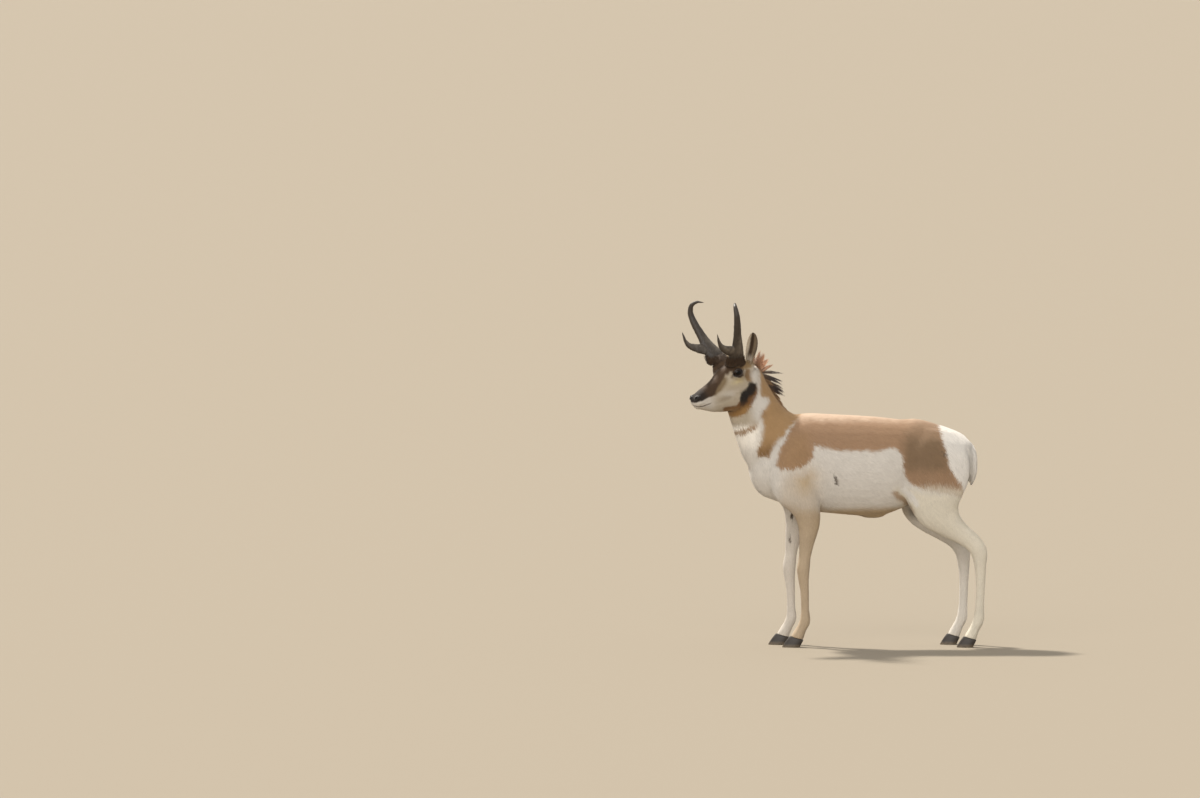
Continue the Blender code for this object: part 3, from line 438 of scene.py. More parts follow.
def coat_paint(red, green, blue):
    """A coat colour as it looks on the shaded flank, as the hair's own colour."""
    return np.minimum(np.array(linear(red, green, blue)) * SHADE_LIFT, BEST_WHITE)


WHITE = coat_paint(192, 186, 178)
BRIGHT_WHITE = coat_paint(204, 199, 192)
BACK_BROWN = coat_paint(146, 117, 91)
# A painted highlight: the top of the back made paler where the sun beyond the animal catches it
BACK_SUNLIT_TOP = coat_paint(205, 182, 160)
DEEP_BROWN = coat_paint(142, 113, 82)
HIP_BROWN = coat_paint(116, 94, 71)
NECK_TAN = coat_paint(152, 122, 86)
NECK_BROWN = coat_paint(117, 89, 57)
LEG_TAN = coat_paint(160, 139, 111)
THIGH_GREY = coat_paint(202, 194, 178)
ARM_TAN = coat_paint(172, 151, 122)
THROAT_WHITE = coat_paint(230, 224, 214)
# Painted shade for the underside of the belly
BELLY_SHADE_TAN = coat_paint(164, 143, 113)
MASK = coat_paint(66, 49, 34)
MASK_BROWN = coat_paint(78, 59, 41)
BLACK = coat_paint(26, 22, 21)
PATCH_BLACK = coat_paint(32, 25, 19)
RUST = coat_paint(104, 72, 42)
GOLDEN = coat_paint(140, 108, 66)
OLIVE = coat_paint(114, 95, 67)
STREAK = coat_paint(124, 98, 66)
CHEEK = coat_paint(169, 157, 139)
CHEEK_GREY = coat_paint(136, 122, 102)
CRESCENT = coat_paint(184, 170, 134)
FACE_TAN = coat_paint(132, 109, 77)
EAR_TAN = coat_paint(150, 132, 108)
# Painted shade in the hollow of the ear
EAR_HOLLOW_SHADE = coat_paint(70, 54, 39)
EAR_PALE = coat_paint(214, 202, 184)
MANE_RED = coat_paint(188, 138, 104)
MANE_TAN = coat_paint(150, 118, 84)
MANE_DARK = coat_paint(56, 40, 35)
# Dark colour of the scar, the nick and the flecks, and also of the painted shade in the groin
SCAR_AND_SHADE = coat_paint(70, 58, 46)

# %% Outlines of the body's markings, seen from the side
SADDLE = (
    (-0.240, 1.000), (-0.262, 0.838), (-0.285, 0.780), (-0.3095, 0.730), (-0.318, 0.689),
    (-0.300, 0.668), (-0.250, 0.672), (-0.205, 0.690), (-0.187, 0.7135), (-0.180, 0.758),
    (-0.100, 0.742), (-0.018, 0.732), (0.060, 0.738), (0.111, 0.748), (0.138, 0.735),
    (0.146, 0.700), (0.157, 0.650), (0.170, 0.625), (0.2086, 0.604), (0.290, 0.588),
    (0.378, 0.575), (0.392, 0.600), (0.364, 0.6325), (0.330, 0.668), (0.3135, 0.7135),
    (0.3015, 0.762), (0.288, 0.800), (0.270, 0.832), (0.262, 1.000),
)
NECK_BAND = (
    (-0.420, 1.200), (-0.389, 1.004), (-0.389, 0.9605), (-0.377, 0.949), (-0.351, 0.941),
    (-0.351, 0.922), (-0.364, 0.896), (-0.375, 0.875), (-0.370, 0.828),
    (-0.383, 0.769), (-0.393, 0.726), (-0.370, 0.721), (-0.345, 0.722), (-0.331, 0.7625),
    (-0.290, 0.804), (-0.265, 0.838), (-0.236, 0.860), (-0.200, 1.000), (-0.240, 1.200),
)
HIP = ((0.150, 0.800), (0.146, 0.700), (0.160, 0.640), (0.200, 0.600), (0.390, 0.560),
       (0.392, 0.600), (0.330, 0.668), (0.3135, 0.7135), (0.300, 0.780), (0.270, 0.830),
       (0.200, 0.842))
SHOULDER = ((-0.270, 0.800), (-0.305, 0.730), (-0.318, 0.670), (-0.215, 0.672), (-0.190, 0.720),
            (-0.205, 0.800))
HIND_TAN = ((0.120, 0.600), (0.200, 0.590), (0.400, 0.570), (0.560, 0.540), (0.560, -0.050),
            (0.200, -0.050), (0.180, 0.430), (0.150, 0.520))
FORE_TAN = ((-0.300, 0.650), (-0.250, 0.660), (-0.190, 0.650), (-0.150, 0.560), (-0.130, 0.480),
            (-0.100, 0.300), (-0.100, -0.050), (-0.400, -0.050), (-0.340, 0.400), (-0.310, 0.520))
RUMP = ((0.262, 1.000), (0.270, 0.832), (0.3015, 0.762), (0.3135, 0.7135), (0.330, 0.668),
        (0.392, 0.600), (0.378, 0.540), (0.560, 0.500), (0.560, 1.000))
COLLAR = ((-0.520, 0.800), (-0.462, 0.806), (-0.4347, 0.8127), (-0.4104, 0.828),
          (-0.386, 0.8557), (-0.3657, 0.880))


# The outlines were read from three degrees above, where nearer things stand lower
SEEN_FROM_ABOVE = 0.052


def side_height(own):
    return own[:, 2] - SEEN_FROM_ABOVE * own[:, 0]

# %% How far points are from an outline or a line
def inside_outline(across, upward, outline):
    """How far each point is inside a closed outline, in metres; outside counts as negative."""
    corners = np.array(outline)
    nearest = np.full(len(across), 1e9)
    inside = np.zeros(len(across), bool)
    for (y0, z0), (y1, z1) in zip(corners, np.roll(corners, -1, axis=0)):
        along_y, along_z = y1 - y0, z1 - z0
        share = ((across - y0) * along_y + (upward - z0) * along_z) / (along_y**2 + along_z**2)
        share = np.clip(share, 0, 1)
        gap = np.hypot(across - y0 - share * along_y, upward - z0 - share * along_z)
        nearest = np.minimum(nearest, gap)
        crosses = (z0 > upward) != (z1 > upward)
        level = np.where(crosses, (upward - z0) / (along_z if along_z else 1), 0)
        inside ^= crosses & (across < y0 + level * along_y)
    return np.where(inside, nearest, -nearest)


def from_line(places, line):
    """The distance of each point from a line through the given points, of any dimension."""
    corners = np.array(line)
    nearest = np.full(len(places), 1e9)
    for start, end in zip(corners, corners[1:]):
        along = end - start
        share = np.clip((places - start) @ along / (along @ along), 0, 1)
        nearest = np.minimum(nearest, np.linalg.norm(places - start - share[:, None] * along, axis=1))
    return nearest


def painted(count, ground, layers):
    """A ground colour for each of count points, with coats of paint over it by their amounts."""
    colours = np.tile(ground, (count, 1))
    for coat, amount in layers:
        colours = colours + (np.array(coat) - colours) * np.clip(amount, 0, 1)[:, None]
    return colours

# %% [markdown]
# The body is painted first with white, then tan and brown over it, then the small marks: the thin
# collar across the throat, a scar on the ribs and dark flecks on the far foreleg. Light is painted
# in too: a paler top to the back as a painted highlight, and painted shade along the underside of
# the belly, in the crease before the thigh and in the groin. The legs' inner sides stay pale, which
# is read from the way the surface faces.

# %% Small marks of the body
def spot(y, z, middle, spread):
    """A soft round spot of the side view, 1 in its middle."""
    return np.exp(-(((y - middle[0]) / spread[0]) ** 2 + ((z - middle[1]) / spread[1]) ** 2))


SCAR_LINE = ((-0.1025, 0.640), (-0.0985, 0.616))
FLANK_FOLD = ((0.150, 0.597), (0.182, 0.567), (0.206, 0.540))
# Painted shade in the crease between belly and thigh
FLANK_CREASE_SHADE = ((0.118, 0.582), (0.152, 0.552), (0.182, 0.512))
HIP_NICK = ((0.296, 0.724), (0.313, 0.728))
FAR_LEG_FLECKS = (((-0.252, 0.502), (-0.254, 0.486)), ((-0.262, 0.405), (-0.259, 0.395)))

# %% Paint the body
def paint_body(points, facing):
    own = body_places(points)
    mirrored = near_side(own)
    y = mirrored[:, 1] + 0.005 * noise(own, 0.016, 1) + 0.003 * noise(own, 0.006, 9)
    z = side_height(mirrored) + 0.006 * noise(own, 0.014, 2)
    seen = np.stack([y, z], axis=1)
    flat = np.stack([own[:, 1], side_height(own)], axis=1)
    outward = facing[:, 0] * np.sign(own[:, 0])
    outside = ramp(-0.1, 0.2, outward)
    left = own[:, 0] > 0.05
    inner = ramp(0.25, -0.35, outward) * ramp(0.70, 0.60, own[:, 2])
    saddle = ramp(-0.006, 0.008, inside_outline(y, z, SADDLE))
    shoulder = ramp(-0.03, 0.03, inside_outline(y, z, SHOULDER)) * saddle
    hip = ramp(-0.03, 0.03, inside_outline(y, z, HIP)) * saddle
    hip *= (1 - 0.75 * ramp(0.69, 0.64, z)) * (1 - 0.4 * ramp(0.76, 0.80, z))
    band = ramp(-0.006, 0.008, inside_outline(y, z, NECK_BAND))
    band = np.maximum(band, ramp(1.034, 1.046, z) * ramp(-0.425, -0.405, y))
    # The sheath's dark skin together with painted shade between belly and thigh
    groin_sheath_and_shade = spot(own[:, 1], own[:, 2], (0.205, 0.515), (0.035, 0.03))
    layers = [
        (LEG_TAN, ramp(-0.02, 0.03, inside_outline(y, z, FORE_TAN)) * (0.35 + 0.5 * ramp(0.56, 0.48, z))),
        (ARM_TAN, spot(y, z, (-0.205, 0.622), (0.048, 0.055)) * (0.75 + 0.25 * noise(own, 0.03, 3))),
        (THIGH_GREY, ramp(-0.02, 0.02, inside_outline(y, z, HIND_TAN))),
        (WHITE, inner * 0.8),
        (BACK_BROWN, saddle),
        # Painted highlight along the top of the back, where the sun catches it
        (BACK_SUNLIT_TOP, saddle * ramp(0.825, 0.862, z) * 0.6),
        (DEEP_BROWN, shoulder * 0.8),
        (HIP_BROWN, hip),
        (THIGH_GREY, ramp(0.625, 0.585, z) * ramp(0.10, 0.17, y) * saddle * 0.75),
        (THROAT_WHITE, ramp(-0.37, -0.41, y) * ramp(0.72, 0.80, z)),
        (NECK_TAN, band),
        (NECK_BROWN, band * ramp(0.80, 0.73, z) * 0.9),
        (DEEP_BROWN, ramp(0.012, 0.005, from_line(seen, COLLAR)) * 0.9),
        (BRIGHT_WHITE, ramp(-0.005, 0.010, inside_outline(y, z, RUMP))),
        # Painted shade in the crease between belly and thigh
        (DEEP_BROWN, ramp(0.020, 0.004, from_line(seen, FLANK_CREASE_SHADE)) * outside * 0.75),
        (BRIGHT_WHITE, ramp(0.016, 0.006, from_line(seen, FLANK_FOLD)) * outside),
        # Painted shade along the underside of the belly
        (BELLY_SHADE_TAN, ramp(0.535, 0.50, own[:, 2]) * ramp(-0.20, -0.10, y) * ramp(0.20, 0.12, y)),
        # Dark skin of the sheath and painted shade in the groin
        (SCAR_AND_SHADE, groin_sheath_and_shade * ramp(0.09, 0.05, np.abs(own[:, 0]))),
        (SCAR_AND_SHADE, ramp(0.0062, 0.003, from_line(flat, SCAR_LINE)) * left),
        (SCAR_AND_SHADE, ramp(0.005, 0.002, from_line(flat, HIP_NICK)) * left * 0.8),
    ]
    for fleck in FAR_LEG_FLECKS:
        layers.append((SCAR_AND_SHADE, ramp(0.006, 0.003, from_line(flat, fleck)) * (own[:, 0] < 0)))
    return painted(len(points), WHITE, layers)

# %% [markdown]
# The face is painted in the head's own frame, so it turns with the head. The mask runs from the
# black nose up to the horns, the cheek patch hangs from below the ear to the corner of the jaw
# with a rusty hind edge, and the eye lies in a dark ring.

# %% Outlines of the head's markings, in its own frame
MASK_OUTLINE = (
    (-0.030, -0.0185), (0.0070, -0.0177), (0.0115, -0.0150), (0.0307, -0.0150),
    (0.0516, -0.0119), (0.0747, -0.0124), (0.0906, -0.0056), (0.0960, 0.0027),
    (0.1120, 0.0169), (0.1230, 0.0237), (0.1370, 0.0340), (0.1480, 0.0450), (0.1600, 0.0550),
    (0.1700, 0.0630), (0.1800, 0.0680), (0.1950, 0.0730), (0.2100, 0.0830), (0.2350, 0.1200),
    (-0.030, 0.120),
)
OLIVE_OUTLINE = (
    (0.0750, -0.0100), (0.0882, -0.0128), (0.1150, -0.0028), (0.1297, 0.0088),
    (0.1416, 0.0213), (0.1493, 0.0406), (0.1569, 0.0538), (0.1594, 0.0654),
    (0.1500, 0.0800), (0.1200, 0.0600), (0.0900, 0.0200),
)
STREAK_OUTLINE = (
    (0.2127, 0.0325), (0.2240, 0.0087), (0.2437, -0.0011), (0.2544, 0.0154),
    (0.2540, 0.0437), (0.2246, 0.0527),
)
PATCH_OUTLINE = (
    (0.2320, 0.0023), (0.2631, -0.0069), (0.2567, -0.0287), (0.2377, -0.0390),
    (0.2222, -0.0445), (0.2080, -0.0662), (0.1992, -0.0797), (0.1806, -0.0721),
    (0.1741, -0.0520), (0.1843, -0.0311), (0.1963, -0.0207), (0.2124, -0.0157),
    (0.2253, -0.0057),
)
RUST_OUTLINE = (
    (0.2600, -0.0069), (0.2640, -0.0290), (0.2510, -0.0495), (0.2320, -0.0682),
    (0.2170, -0.0880), (0.2040, -0.1020), (0.1902, -0.1080), (0.1757, -0.1120),
    (0.1500, -0.1100), (0.1200, -0.0950), (0.1050, -0.0720), (0.1107, -0.0615),
    (0.1362, -0.0680), (0.1600, -0.0715), (0.1737, -0.0559), (0.1900, -0.0400),
    (0.2300, -0.0200),
)
EYE_DARK_OUTLINE = (
    (0.1640, 0.0506), (0.1719, 0.0420), (0.1777, 0.0320), (0.1850, 0.0265), (0.1950, 0.0250),
    (0.2066, 0.0300), (0.2135, 0.0440), (0.2110, 0.0560), (0.2010, 0.0660), (0.1900, 0.0690),
    (0.1786, 0.0700), (0.1700, 0.0800), (0.1660, 0.1000), (0.1520, 0.1000), (0.1600, 0.0700),
)
NOSE_PAD = ((0.013, -0.002, -0.004), (0.020, 0.008, 0.003))
NOSTRIL = ((0.0205, 0.006, 0.000), (0.0270, 0.017, 0.006), (0.0280, 0.025, 0.008))
MOUTH = (
    (0.0000, 0.0075, -0.0305), (0.0100, 0.0100, -0.0325), (0.0165, 0.0180, -0.0352),
    (0.0215, 0.0265, -0.0365), (0.0262, 0.0374, -0.0362), (0.0275, 0.0519, -0.0362),
    (0.0290, 0.0600, -0.0360),
)
TEAR_LINE = ((0.063, 0.172, 0.046), (0.052, 0.158, 0.034))

# %% Paint the head
def paint_head(points):
    own = head_places(points)
    x, y, z = (own + 0.0020 * noise(own, 0.006, 4)[:, None]).T
    flecks = np.clip(noise(own * (1, 0.5, 1), 0.007, 14) * 1.6 - 0.2, 0, 1)
    forehead = ramp(0.050, 0.040, x) * ramp(0.040, 0.052, z) * ramp(0.130, 0.145, y)
    mask = ramp(-0.003, 0.004, inside_outline(y, z, MASK_OUTLINE))
    mask = np.maximum(mask, forehead * ramp(0.250, 0.225, y))
    rust = inside_outline(y, z, RUST_OUTLINE)
    patch = ramp(-0.003, 0.005, inside_outline(y, z, PATCH_OUTLINE))
    return painted(len(points), CHEEK, (
        (WHITE, ramp(0.10, 0.05, y) * ramp(0.000, -0.015, z) * 0.8),
        (WHITE, spot(y, z, (0.135, -0.022), (0.030, 0.014)) * 0.6),
        (CHEEK_GREY, spot(y, z, (0.118, -0.033), (0.026, 0.012)) * 0.75),
        (CHEEK_GREY, flecks * spot(y, z, (0.150, -0.040), (0.035, 0.022)) * 0.6),
        (CRESCENT, spot(y, z, (0.185, 0.016), (0.028, 0.011)) * 0.9),
        (OLIVE, ramp(-0.005, 0.007, inside_outline(y, z, OLIVE_OUTLINE)) * 0.9),
        (FACE_TAN, ramp(0.048, 0.058, z) * ramp(0.160, 0.185, y)),
        (STREAK, ramp(-0.004, 0.005, inside_outline(y, z, STREAK_OUTLINE)) * 0.9),
        (WHITE, spot(y, z, (0.262, 0.020), (0.010, 0.028)) * 0.9),
        (WHITE, ramp(0.235, 0.255, y) * ramp(0.055, 0.040, z) * 0.8),
        (WHITE, ramp(0.200, 0.235, y) * ramp(-0.02, -0.05, z)),
        (MASK, mask),
        (MASK_BROWN, mask * ramp(0.100, 0.130, y) * 0.7),
        (BLACK, mask * ramp(0.070, 0.035, y) * 0.8),
        (RUST, ramp(-0.003, 0.006, rust)),
        (GOLDEN, ramp(-0.066, -0.092, z) * ramp(-0.003, 0.004, rust) * 0.9),
        (PATCH_BLACK, patch * (1 - 0.45 * ramp(-0.052, -0.074, z))),
        (BLACK, spot(y, z, (0.210, -0.035), (0.018, 0.014)) * 0.8),
        (MASK, ramp(-0.002, 0.003, inside_outline(y, z, EYE_DARK_OUTLINE))),
        (MASK, ramp(0.0070, 0.003, from_line(own, TEAR_LINE)) * 0.6),
        (BLACK, ramp(0.019, 0.011, from_line(own, NOSE_PAD))),
        (BLACK, ramp(0.011, 0.006, from_line(own, NOSTRIL))),
        (MASK, ramp(0.0034, 0.0018, from_line(own, MOUTH))),
    ))


def bareness(points):
    """How bare the skin is, from 0 in the coat to 1 on the nose, the lips and inside the nostrils."""
    own = head_places(points)
    nose = ramp(0.0150, 0.0100, from_line(own, NOSE_PAD))
    nostril = ramp(0.0075, 0.0050, from_line(own, NOSTRIL))
    mouth = ramp(0.0030, 0.0018, from_line(own, MOUTH))
    eye = ramp(0.0228, 0.0210, np.linalg.norm(own - np.array(EYE_PLACE), axis=1))
    return np.maximum(np.maximum(nose, nostril), np.maximum(mouth, eye))

# %% One coat colour for any point
HEAD_ENDS = (0.310, 0.060, 0.238, -0.125)


def head_share(points):
    """1 on the head, 0 on the neck, and soft over two centimetres between them."""
    own = head_places(points)
    nape_y, nape_z, throat_y, throat_z = HEAD_ENDS
    length = math.hypot(nape_y - throat_y, nape_z - throat_z)
    across_y, across_z = (nape_z - throat_z) / length, (throat_y - nape_y) / length
    ahead = -(own[:, 1] - throat_y) * across_y - (own[:, 2] - throat_z) * across_z
    reach = ramp(0.35, 0.32, own[:, 1]) * ramp(-0.16, -0.14, own[:, 2])
    return ramp(-0.010, 0.010, ahead) * reach


def coat_colour(points, facing):
    share = head_share(points)[:, None]
    return paint_body(points, facing) * (1 - share) + paint_head(points) * share

# %% [markdown]
# ## The skin
# The solids are parted by thin cuts, so they would show seams. Copies of them are swollen by a
# hair's breadth until they touch, joined with a core that runs through the neck, and wrapped in
# one skin by a voxel remesh. Horns, ears and eyes stand in recesses, and the hull of each foot
# fills its recess, so that the skin closes round it. The skin is then sunk by the coat's depth.

# %% Copies of the solids, and plugs for the recesses
FLESH = ("head", "neck", "torso", "tail", "foreleg_left", "foreleg_right", "hindleg_left",
         "hindleg_right")
EARS = ("ear_left", "ear_right")
TOUCHING = 0.0008
FOOT_NEAR = 0.004
THROAT_CUT = (Vector((0.006, -0.402, 0.893)), Vector((0, 0.86, 0.50)))
WITHERS_CUT = (Vector((0, 0, 0.862)), Vector((0, 0, 1)))


def merged_copy(node):
    """A copy of a solid with its loose triangles merged."""
    work = bmesh.new()
    work.from_mesh(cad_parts[node].data)
    bmesh.ops.remove_doubles(work, verts=work.verts, dist=1e-6)
    return work


def swell(work, amount):
    work.normal_update()
    for vertex in work.verts:
        vertex.co += vertex.normal * amount
    return work


def mesh_of(work):
    return write_mesh(work, bpy.data.meshes.new("piece"))


def half_of(work, cut):
    """The part of a closed mesh behind a plane, closed again where it was cut."""
    place, normal = cut
    everything = work.verts[:] + work.edges[:] + work.faces[:]
    bmesh.ops.bisect_plane(work, geom=everything, plane_co=BODY_SHIFT + place, plane_no=normal,
                           clear_outer=True)
    bmesh.ops.holes_fill(work, edges=[e for e in work.edges if e.is_boundary], sides=0)
    return work


def tree_of(mesh):
    """A tree that finds the nearest place of a mesh."""
    return BVHTree.FromPolygons([v.co for v in mesh.vertices], [p.vertices for p in mesh.polygons])


head_tree = tree_of(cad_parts["head"].data)


def foot_plug(node):
    """The hull of the part of a solid that stands in a recess of the head."""
    work = merged_copy(node)
    away = [v for v in work.verts if head_tree.find_nearest(v.co)[3] > FOOT_NEAR]
    bmesh.ops.delete(work, geom=away, context="VERTS")
    made = bmesh.ops.convex_hull(work, input=work.verts)
    spare = [g for g in made["geom_interior"] + made["geom_unused"] if isinstance(g, bmesh.types.BMVert)]
    bmesh.ops.delete(work, geom=list(set(spare)), context="VERTS")
    bmesh.ops.recalc_face_normals(work, faces=work.faces)
    return swell(work, TOUCHING)

# %% [markdown]
# The neck solid carries the mane's locks, and they shouldn't be wrapped into the skin. So only its
# throat half and its foot at the withers are used, where there are no locks. Between them stands
# the core of the neck, lofted again from its own few rings.

# %% The core of the neck
def smooth_rows(rows, steps):
    """The rows with a smooth curve drawn through them."""
    rows = np.array(rows, float)
    padded = np.vstack([2 * rows[0] - rows[1], rows, 2 * rows[-1] - rows[-2]])
    made = []
    for i in range(len(rows) - 1):
        a, b, c, d = padded[i : i + 4]
        for t in np.arange(steps) / steps:
            made.append(
                0.5 * (2 * b + (c - a) * t + (2 * a - 5 * b + 4 * c - d) * t**2
                       + (3 * b - a - 3 * c + d) * t**3)
            )
    return np.array([*made, rows[-1]])


def bridge_rings(work, rings, cyclic=False):
    """Closed rings of points joined into one tube, its ends capped unless it runs in a circle."""
    edges = []
    loops = []
    for ring in rings:
        verts = [work.verts.new(point) for point in ring]
        loops.append(verts)
        edges += [work.edges.new((a, b)) for a, b in zip(verts, verts[1:] + verts[:1])]
    bmesh.ops.bridge_loops(work, edges=edges, use_cyclic=cyclic)
    if not cyclic:
        for verts in (loops[0], loops[-1]):
            bmesh.ops.contextual_create(work, geom=verts)
    bmesh.ops.recalc_face_normals(work, faces=work.faces)
    return work


CORE_SIDES, CORE_STEPS = 40, 5


def neck_core():
    path = smooth_rows(NECK_RINGS, CORE_STEPS)
    heading = np.gradient(path[:, :3], axis=0)
    rings = []
    for row, ahead in zip(path, heading):
        tangent = Vector(ahead).normalized()
        width = Matrix.Rotation(math.radians(row[6]), 3, "Z") @ Vector((1, 0, 0))
        width = (width - tangent * width.dot(tangent)).normalized()
        depth = width.cross(tangent)
        ring = []
        for k in range(CORE_SIDES):
            angle = 2 * math.pi * k / CORE_SIDES
            reach = row[4] if math.sin(angle) >= 0 else row[5]
            ring.append(
                BODY_SHIFT + Vector(row[:3])
                + width * (row[3] * math.cos(angle))
                + depth * (reach * math.sin(angle))
            )
        rings.append(ring)
    work = bridge_rings(bmesh.new(), rings)
    bmesh.ops.triangulate(work, faces=work.faces)
    return work

# %% [markdown]
# Everything is remeshed at once with small voxels. The trunk may then be smoothed a lot, the thin
# legs and the face only a little. A decimation afterwards thins the trunk and leaves the head as
# fine as it is, because its vertices have no weight in the group that the modifier works on.

# %% Tools for meshes
GROUP_STEPS = 16


def applied(thing):
    """The thing with its modifiers applied to its mesh."""
    bpy.context.view_layer.update()
    graph = bpy.context.evaluated_depsgraph_get()
    mesh = bpy.data.meshes.new_from_object(thing.evaluated_get(graph))
    thing.modifiers.clear()
    thing.data = mesh
    return thing


def read_vectors(things, field):
    flat = np.empty(len(things) * 3, np.float32)
    things.foreach_get(field, flat)
    return flat.reshape(-1, 3).astype(float)


def surface_of(mesh):
    """The places of a mesh's vertices and its smooth normals there."""
    return read_vectors(mesh.vertices, "co"), read_vectors(mesh.vertex_normals, "vector")


def move_points(mesh, points):
    mesh.vertices.foreach_set("co", points.astype(np.float32).ravel())
    mesh.update()


def set_group(thing, name, weights):
    """A vertex group with the given weights, in sixteen steps."""
    group = thing.vertex_groups.new(name=name)
    steps = np.round(weights * GROUP_STEPS).astype(int)
    for step in range(1, GROUP_STEPS + 1):
        chosen = np.nonzero(steps == step)[0]
        if len(chosen):
            group.add(chosen.tolist(), step / GROUP_STEPS, "REPLACE")
    return group


def largest_body(thing):
    """Keeps the largest connected part of a mesh."""
    work = bmesh.new()
    work.from_mesh(thing.data)
    unseen = set(work.verts)
    bodies = []
    while unseen:
        body = [unseen.pop()]
        for vertex in body:
            for edge in vertex.link_edges:
                other = edge.other_vert(vertex)
                if other in unseen:
                    unseen.discard(other)
                    body.append(other)
        bodies.append(body)
    bodies.sort(key=len)
    for scrap in bodies[:-1]:
        bmesh.ops.delete(work, geom=scrap, context="VERTS")
    write_mesh(work, thing.data)
    return thing

# %% Wrap the flesh in one skin
SKIN_VOXEL = 0.0021

work = bmesh.new()
for node in FLESH:
    if node != "neck":
        work.from_mesh(mesh_of(swell(merged_copy(node), TOUCHING)))
for cut in (THROAT_CUT, WITHERS_CUT):
    work.from_mesh(mesh_of(half_of(swell(merged_copy("neck"), TOUCHING), cut)))
for node in (*EARS, "horn_left", "horn_right", "eye_left", "eye_right"):
    work.from_mesh(mesh_of(foot_plug(node)))
work.from_mesh(mesh_of(neck_core()))
skin = object_from("skin", work)
applied(with_modifier(skin, "REMESH", mode="VOXEL", voxel_size=SKIN_VOXEL))
largest_body(skin)
print("skin has", len(skin.data.vertices), "vertices")

# %% Smooth it by region and thin it out
SKIN_TRIANGLES = 168000
SMOOTHING_ROUNDS = {"trunk": 30, "coated": 7}

points = read_vectors(skin.data.vertices, "co")
own = body_places(points)
on_head = head_share(points)
trunk = ramp(0.50, 0.60, own[:, 2]) * (1 - on_head)
set_group(skin, "trunk", trunk)
set_group(skin, "not_head", np.where(on_head > 0.4, 0.0, 1.0))
set_group(skin, "coated", np.clip(1 - bareness(points) * 1.2, 0, 1))
for group, rounds in SMOOTHING_ROUNDS.items():
    with_modifier(skin, "SMOOTH", factor=0.5, iterations=rounds, vertex_group=group)
applied(skin)
ratio = min(1.0, SKIN_TRIANGLES / (2 * len(skin.data.polygons)))
applied(with_modifier(skin, "DECIMATE", ratio=ratio, vertex_group="not_head",
                      use_collapse_triangulate=True))
print("skin thinned to", len(skin.data.polygons), "faces")

# %% Sink the skin by the depth of the coat
points, normals = surface_of(skin.data)
depth = hair_at(points)[2]
move_points(skin.data, points - normals * (depth + TOUCHING)[:, None])
print("skin sunk by up to", round(float(depth.max()) * 1000, 1), "mm")

# %% [markdown]
# ## Fine forms of the head
# The nostrils, the mouth and the hollow in front of the eye are pressed into the skin, and the
# lips raised, by moving its points along their normals: each form is a line or a spot with a
# height and a softness.

# %% Press and raise the skin of the face
MOUTH_DEPTH, LIP_HEIGHT = 0.0028, 0.0007
NOSTRIL_DEPTH, NOSTRIL_RIM = 0.0060, 0.0007
TEAR_DEPTH = 0.0014
NOSE_UNEVENNESS = 0.0008

points, normals = surface_of(skin.data)
own = head_places(points)
near = head_share(points)
push = np.zeros(len(points))
mouth = from_line(own, MOUTH)
push -= MOUTH_DEPTH * ramp(0.0024, 0.0004, mouth)
push += LIP_HEIGHT * ramp(0.0085, 0.0048, mouth) * ramp(0.0016, 0.0045, mouth)
nostril = from_line(own, NOSTRIL)
push -= NOSTRIL_DEPTH * ramp(0.0036, 0.0010, nostril)
push += NOSTRIL_RIM * ramp(0.0095, 0.0060, nostril) * ramp(0.0030, 0.0055, nostril)
push -= TEAR_DEPTH * ramp(0.0045, 0.0010, from_line(own, TEAR_LINE))
push += NOSE_UNEVENNESS * noise(points, 0.012, 5) * ramp(0.20, 0.10, own[:, 1])
move_points(skin.data, points + normals * (push * near)[:, None])
print("face pressed by up to", round(float(-push.min()) * 1000, 1), "mm")

# %% Write colours, directions and values on a mesh
def set_colour(mesh, name, colours):
    layer = mesh.color_attributes.new(name, "FLOAT_COLOR", "POINT")
    full = np.ones((len(colours), 4), np.float32)
    full[:, :3] = colours
    layer.data.foreach_set("color", full.ravel())


def set_vector(mesh, name, values):
    layer = mesh.attributes.new(name, "FLOAT_VECTOR", "POINT")
    layer.data.foreach_set("vector", values.astype(np.float32).ravel())


def set_value(mesh, name, values):
    layer = mesh.attributes.new(name, "FLOAT", "POINT")
    layer.data.foreach_set("value", values.astype(np.float32))

# %% Colour the skin
# The skin under the tufts is painted lighter: partly the hair's pale roots, partly painted light that
# lifts the shade in the gaps
PALE_ROOTS_AND_GAP_LIGHT = 1.05

points, normals = surface_of(skin.data)
set_colour(skin.data, "coat_colour", coat_colour(points, normals) * PALE_ROOTS_AND_GAP_LIGHT)
set_vector(skin.data, "lie", hair_at(points)[0])
set_value(skin.data, "bare", bareness(points) * near)

# %% [markdown]
# ## The coat's finish
# Hair has no single colour: a strand changes a little from root to tip, and neighbours differ.
# The streaks in the skin's paint run along the lie of the hair. To get that, the object's
# coordinates are squeezed along the lie before they reach a noise texture, which draws its grains
# out into streaks. The group is built once and used by the skin and every piece of coat.

# %% Node group for streaks along the lie
ALONG_THE_LIE = 0.88


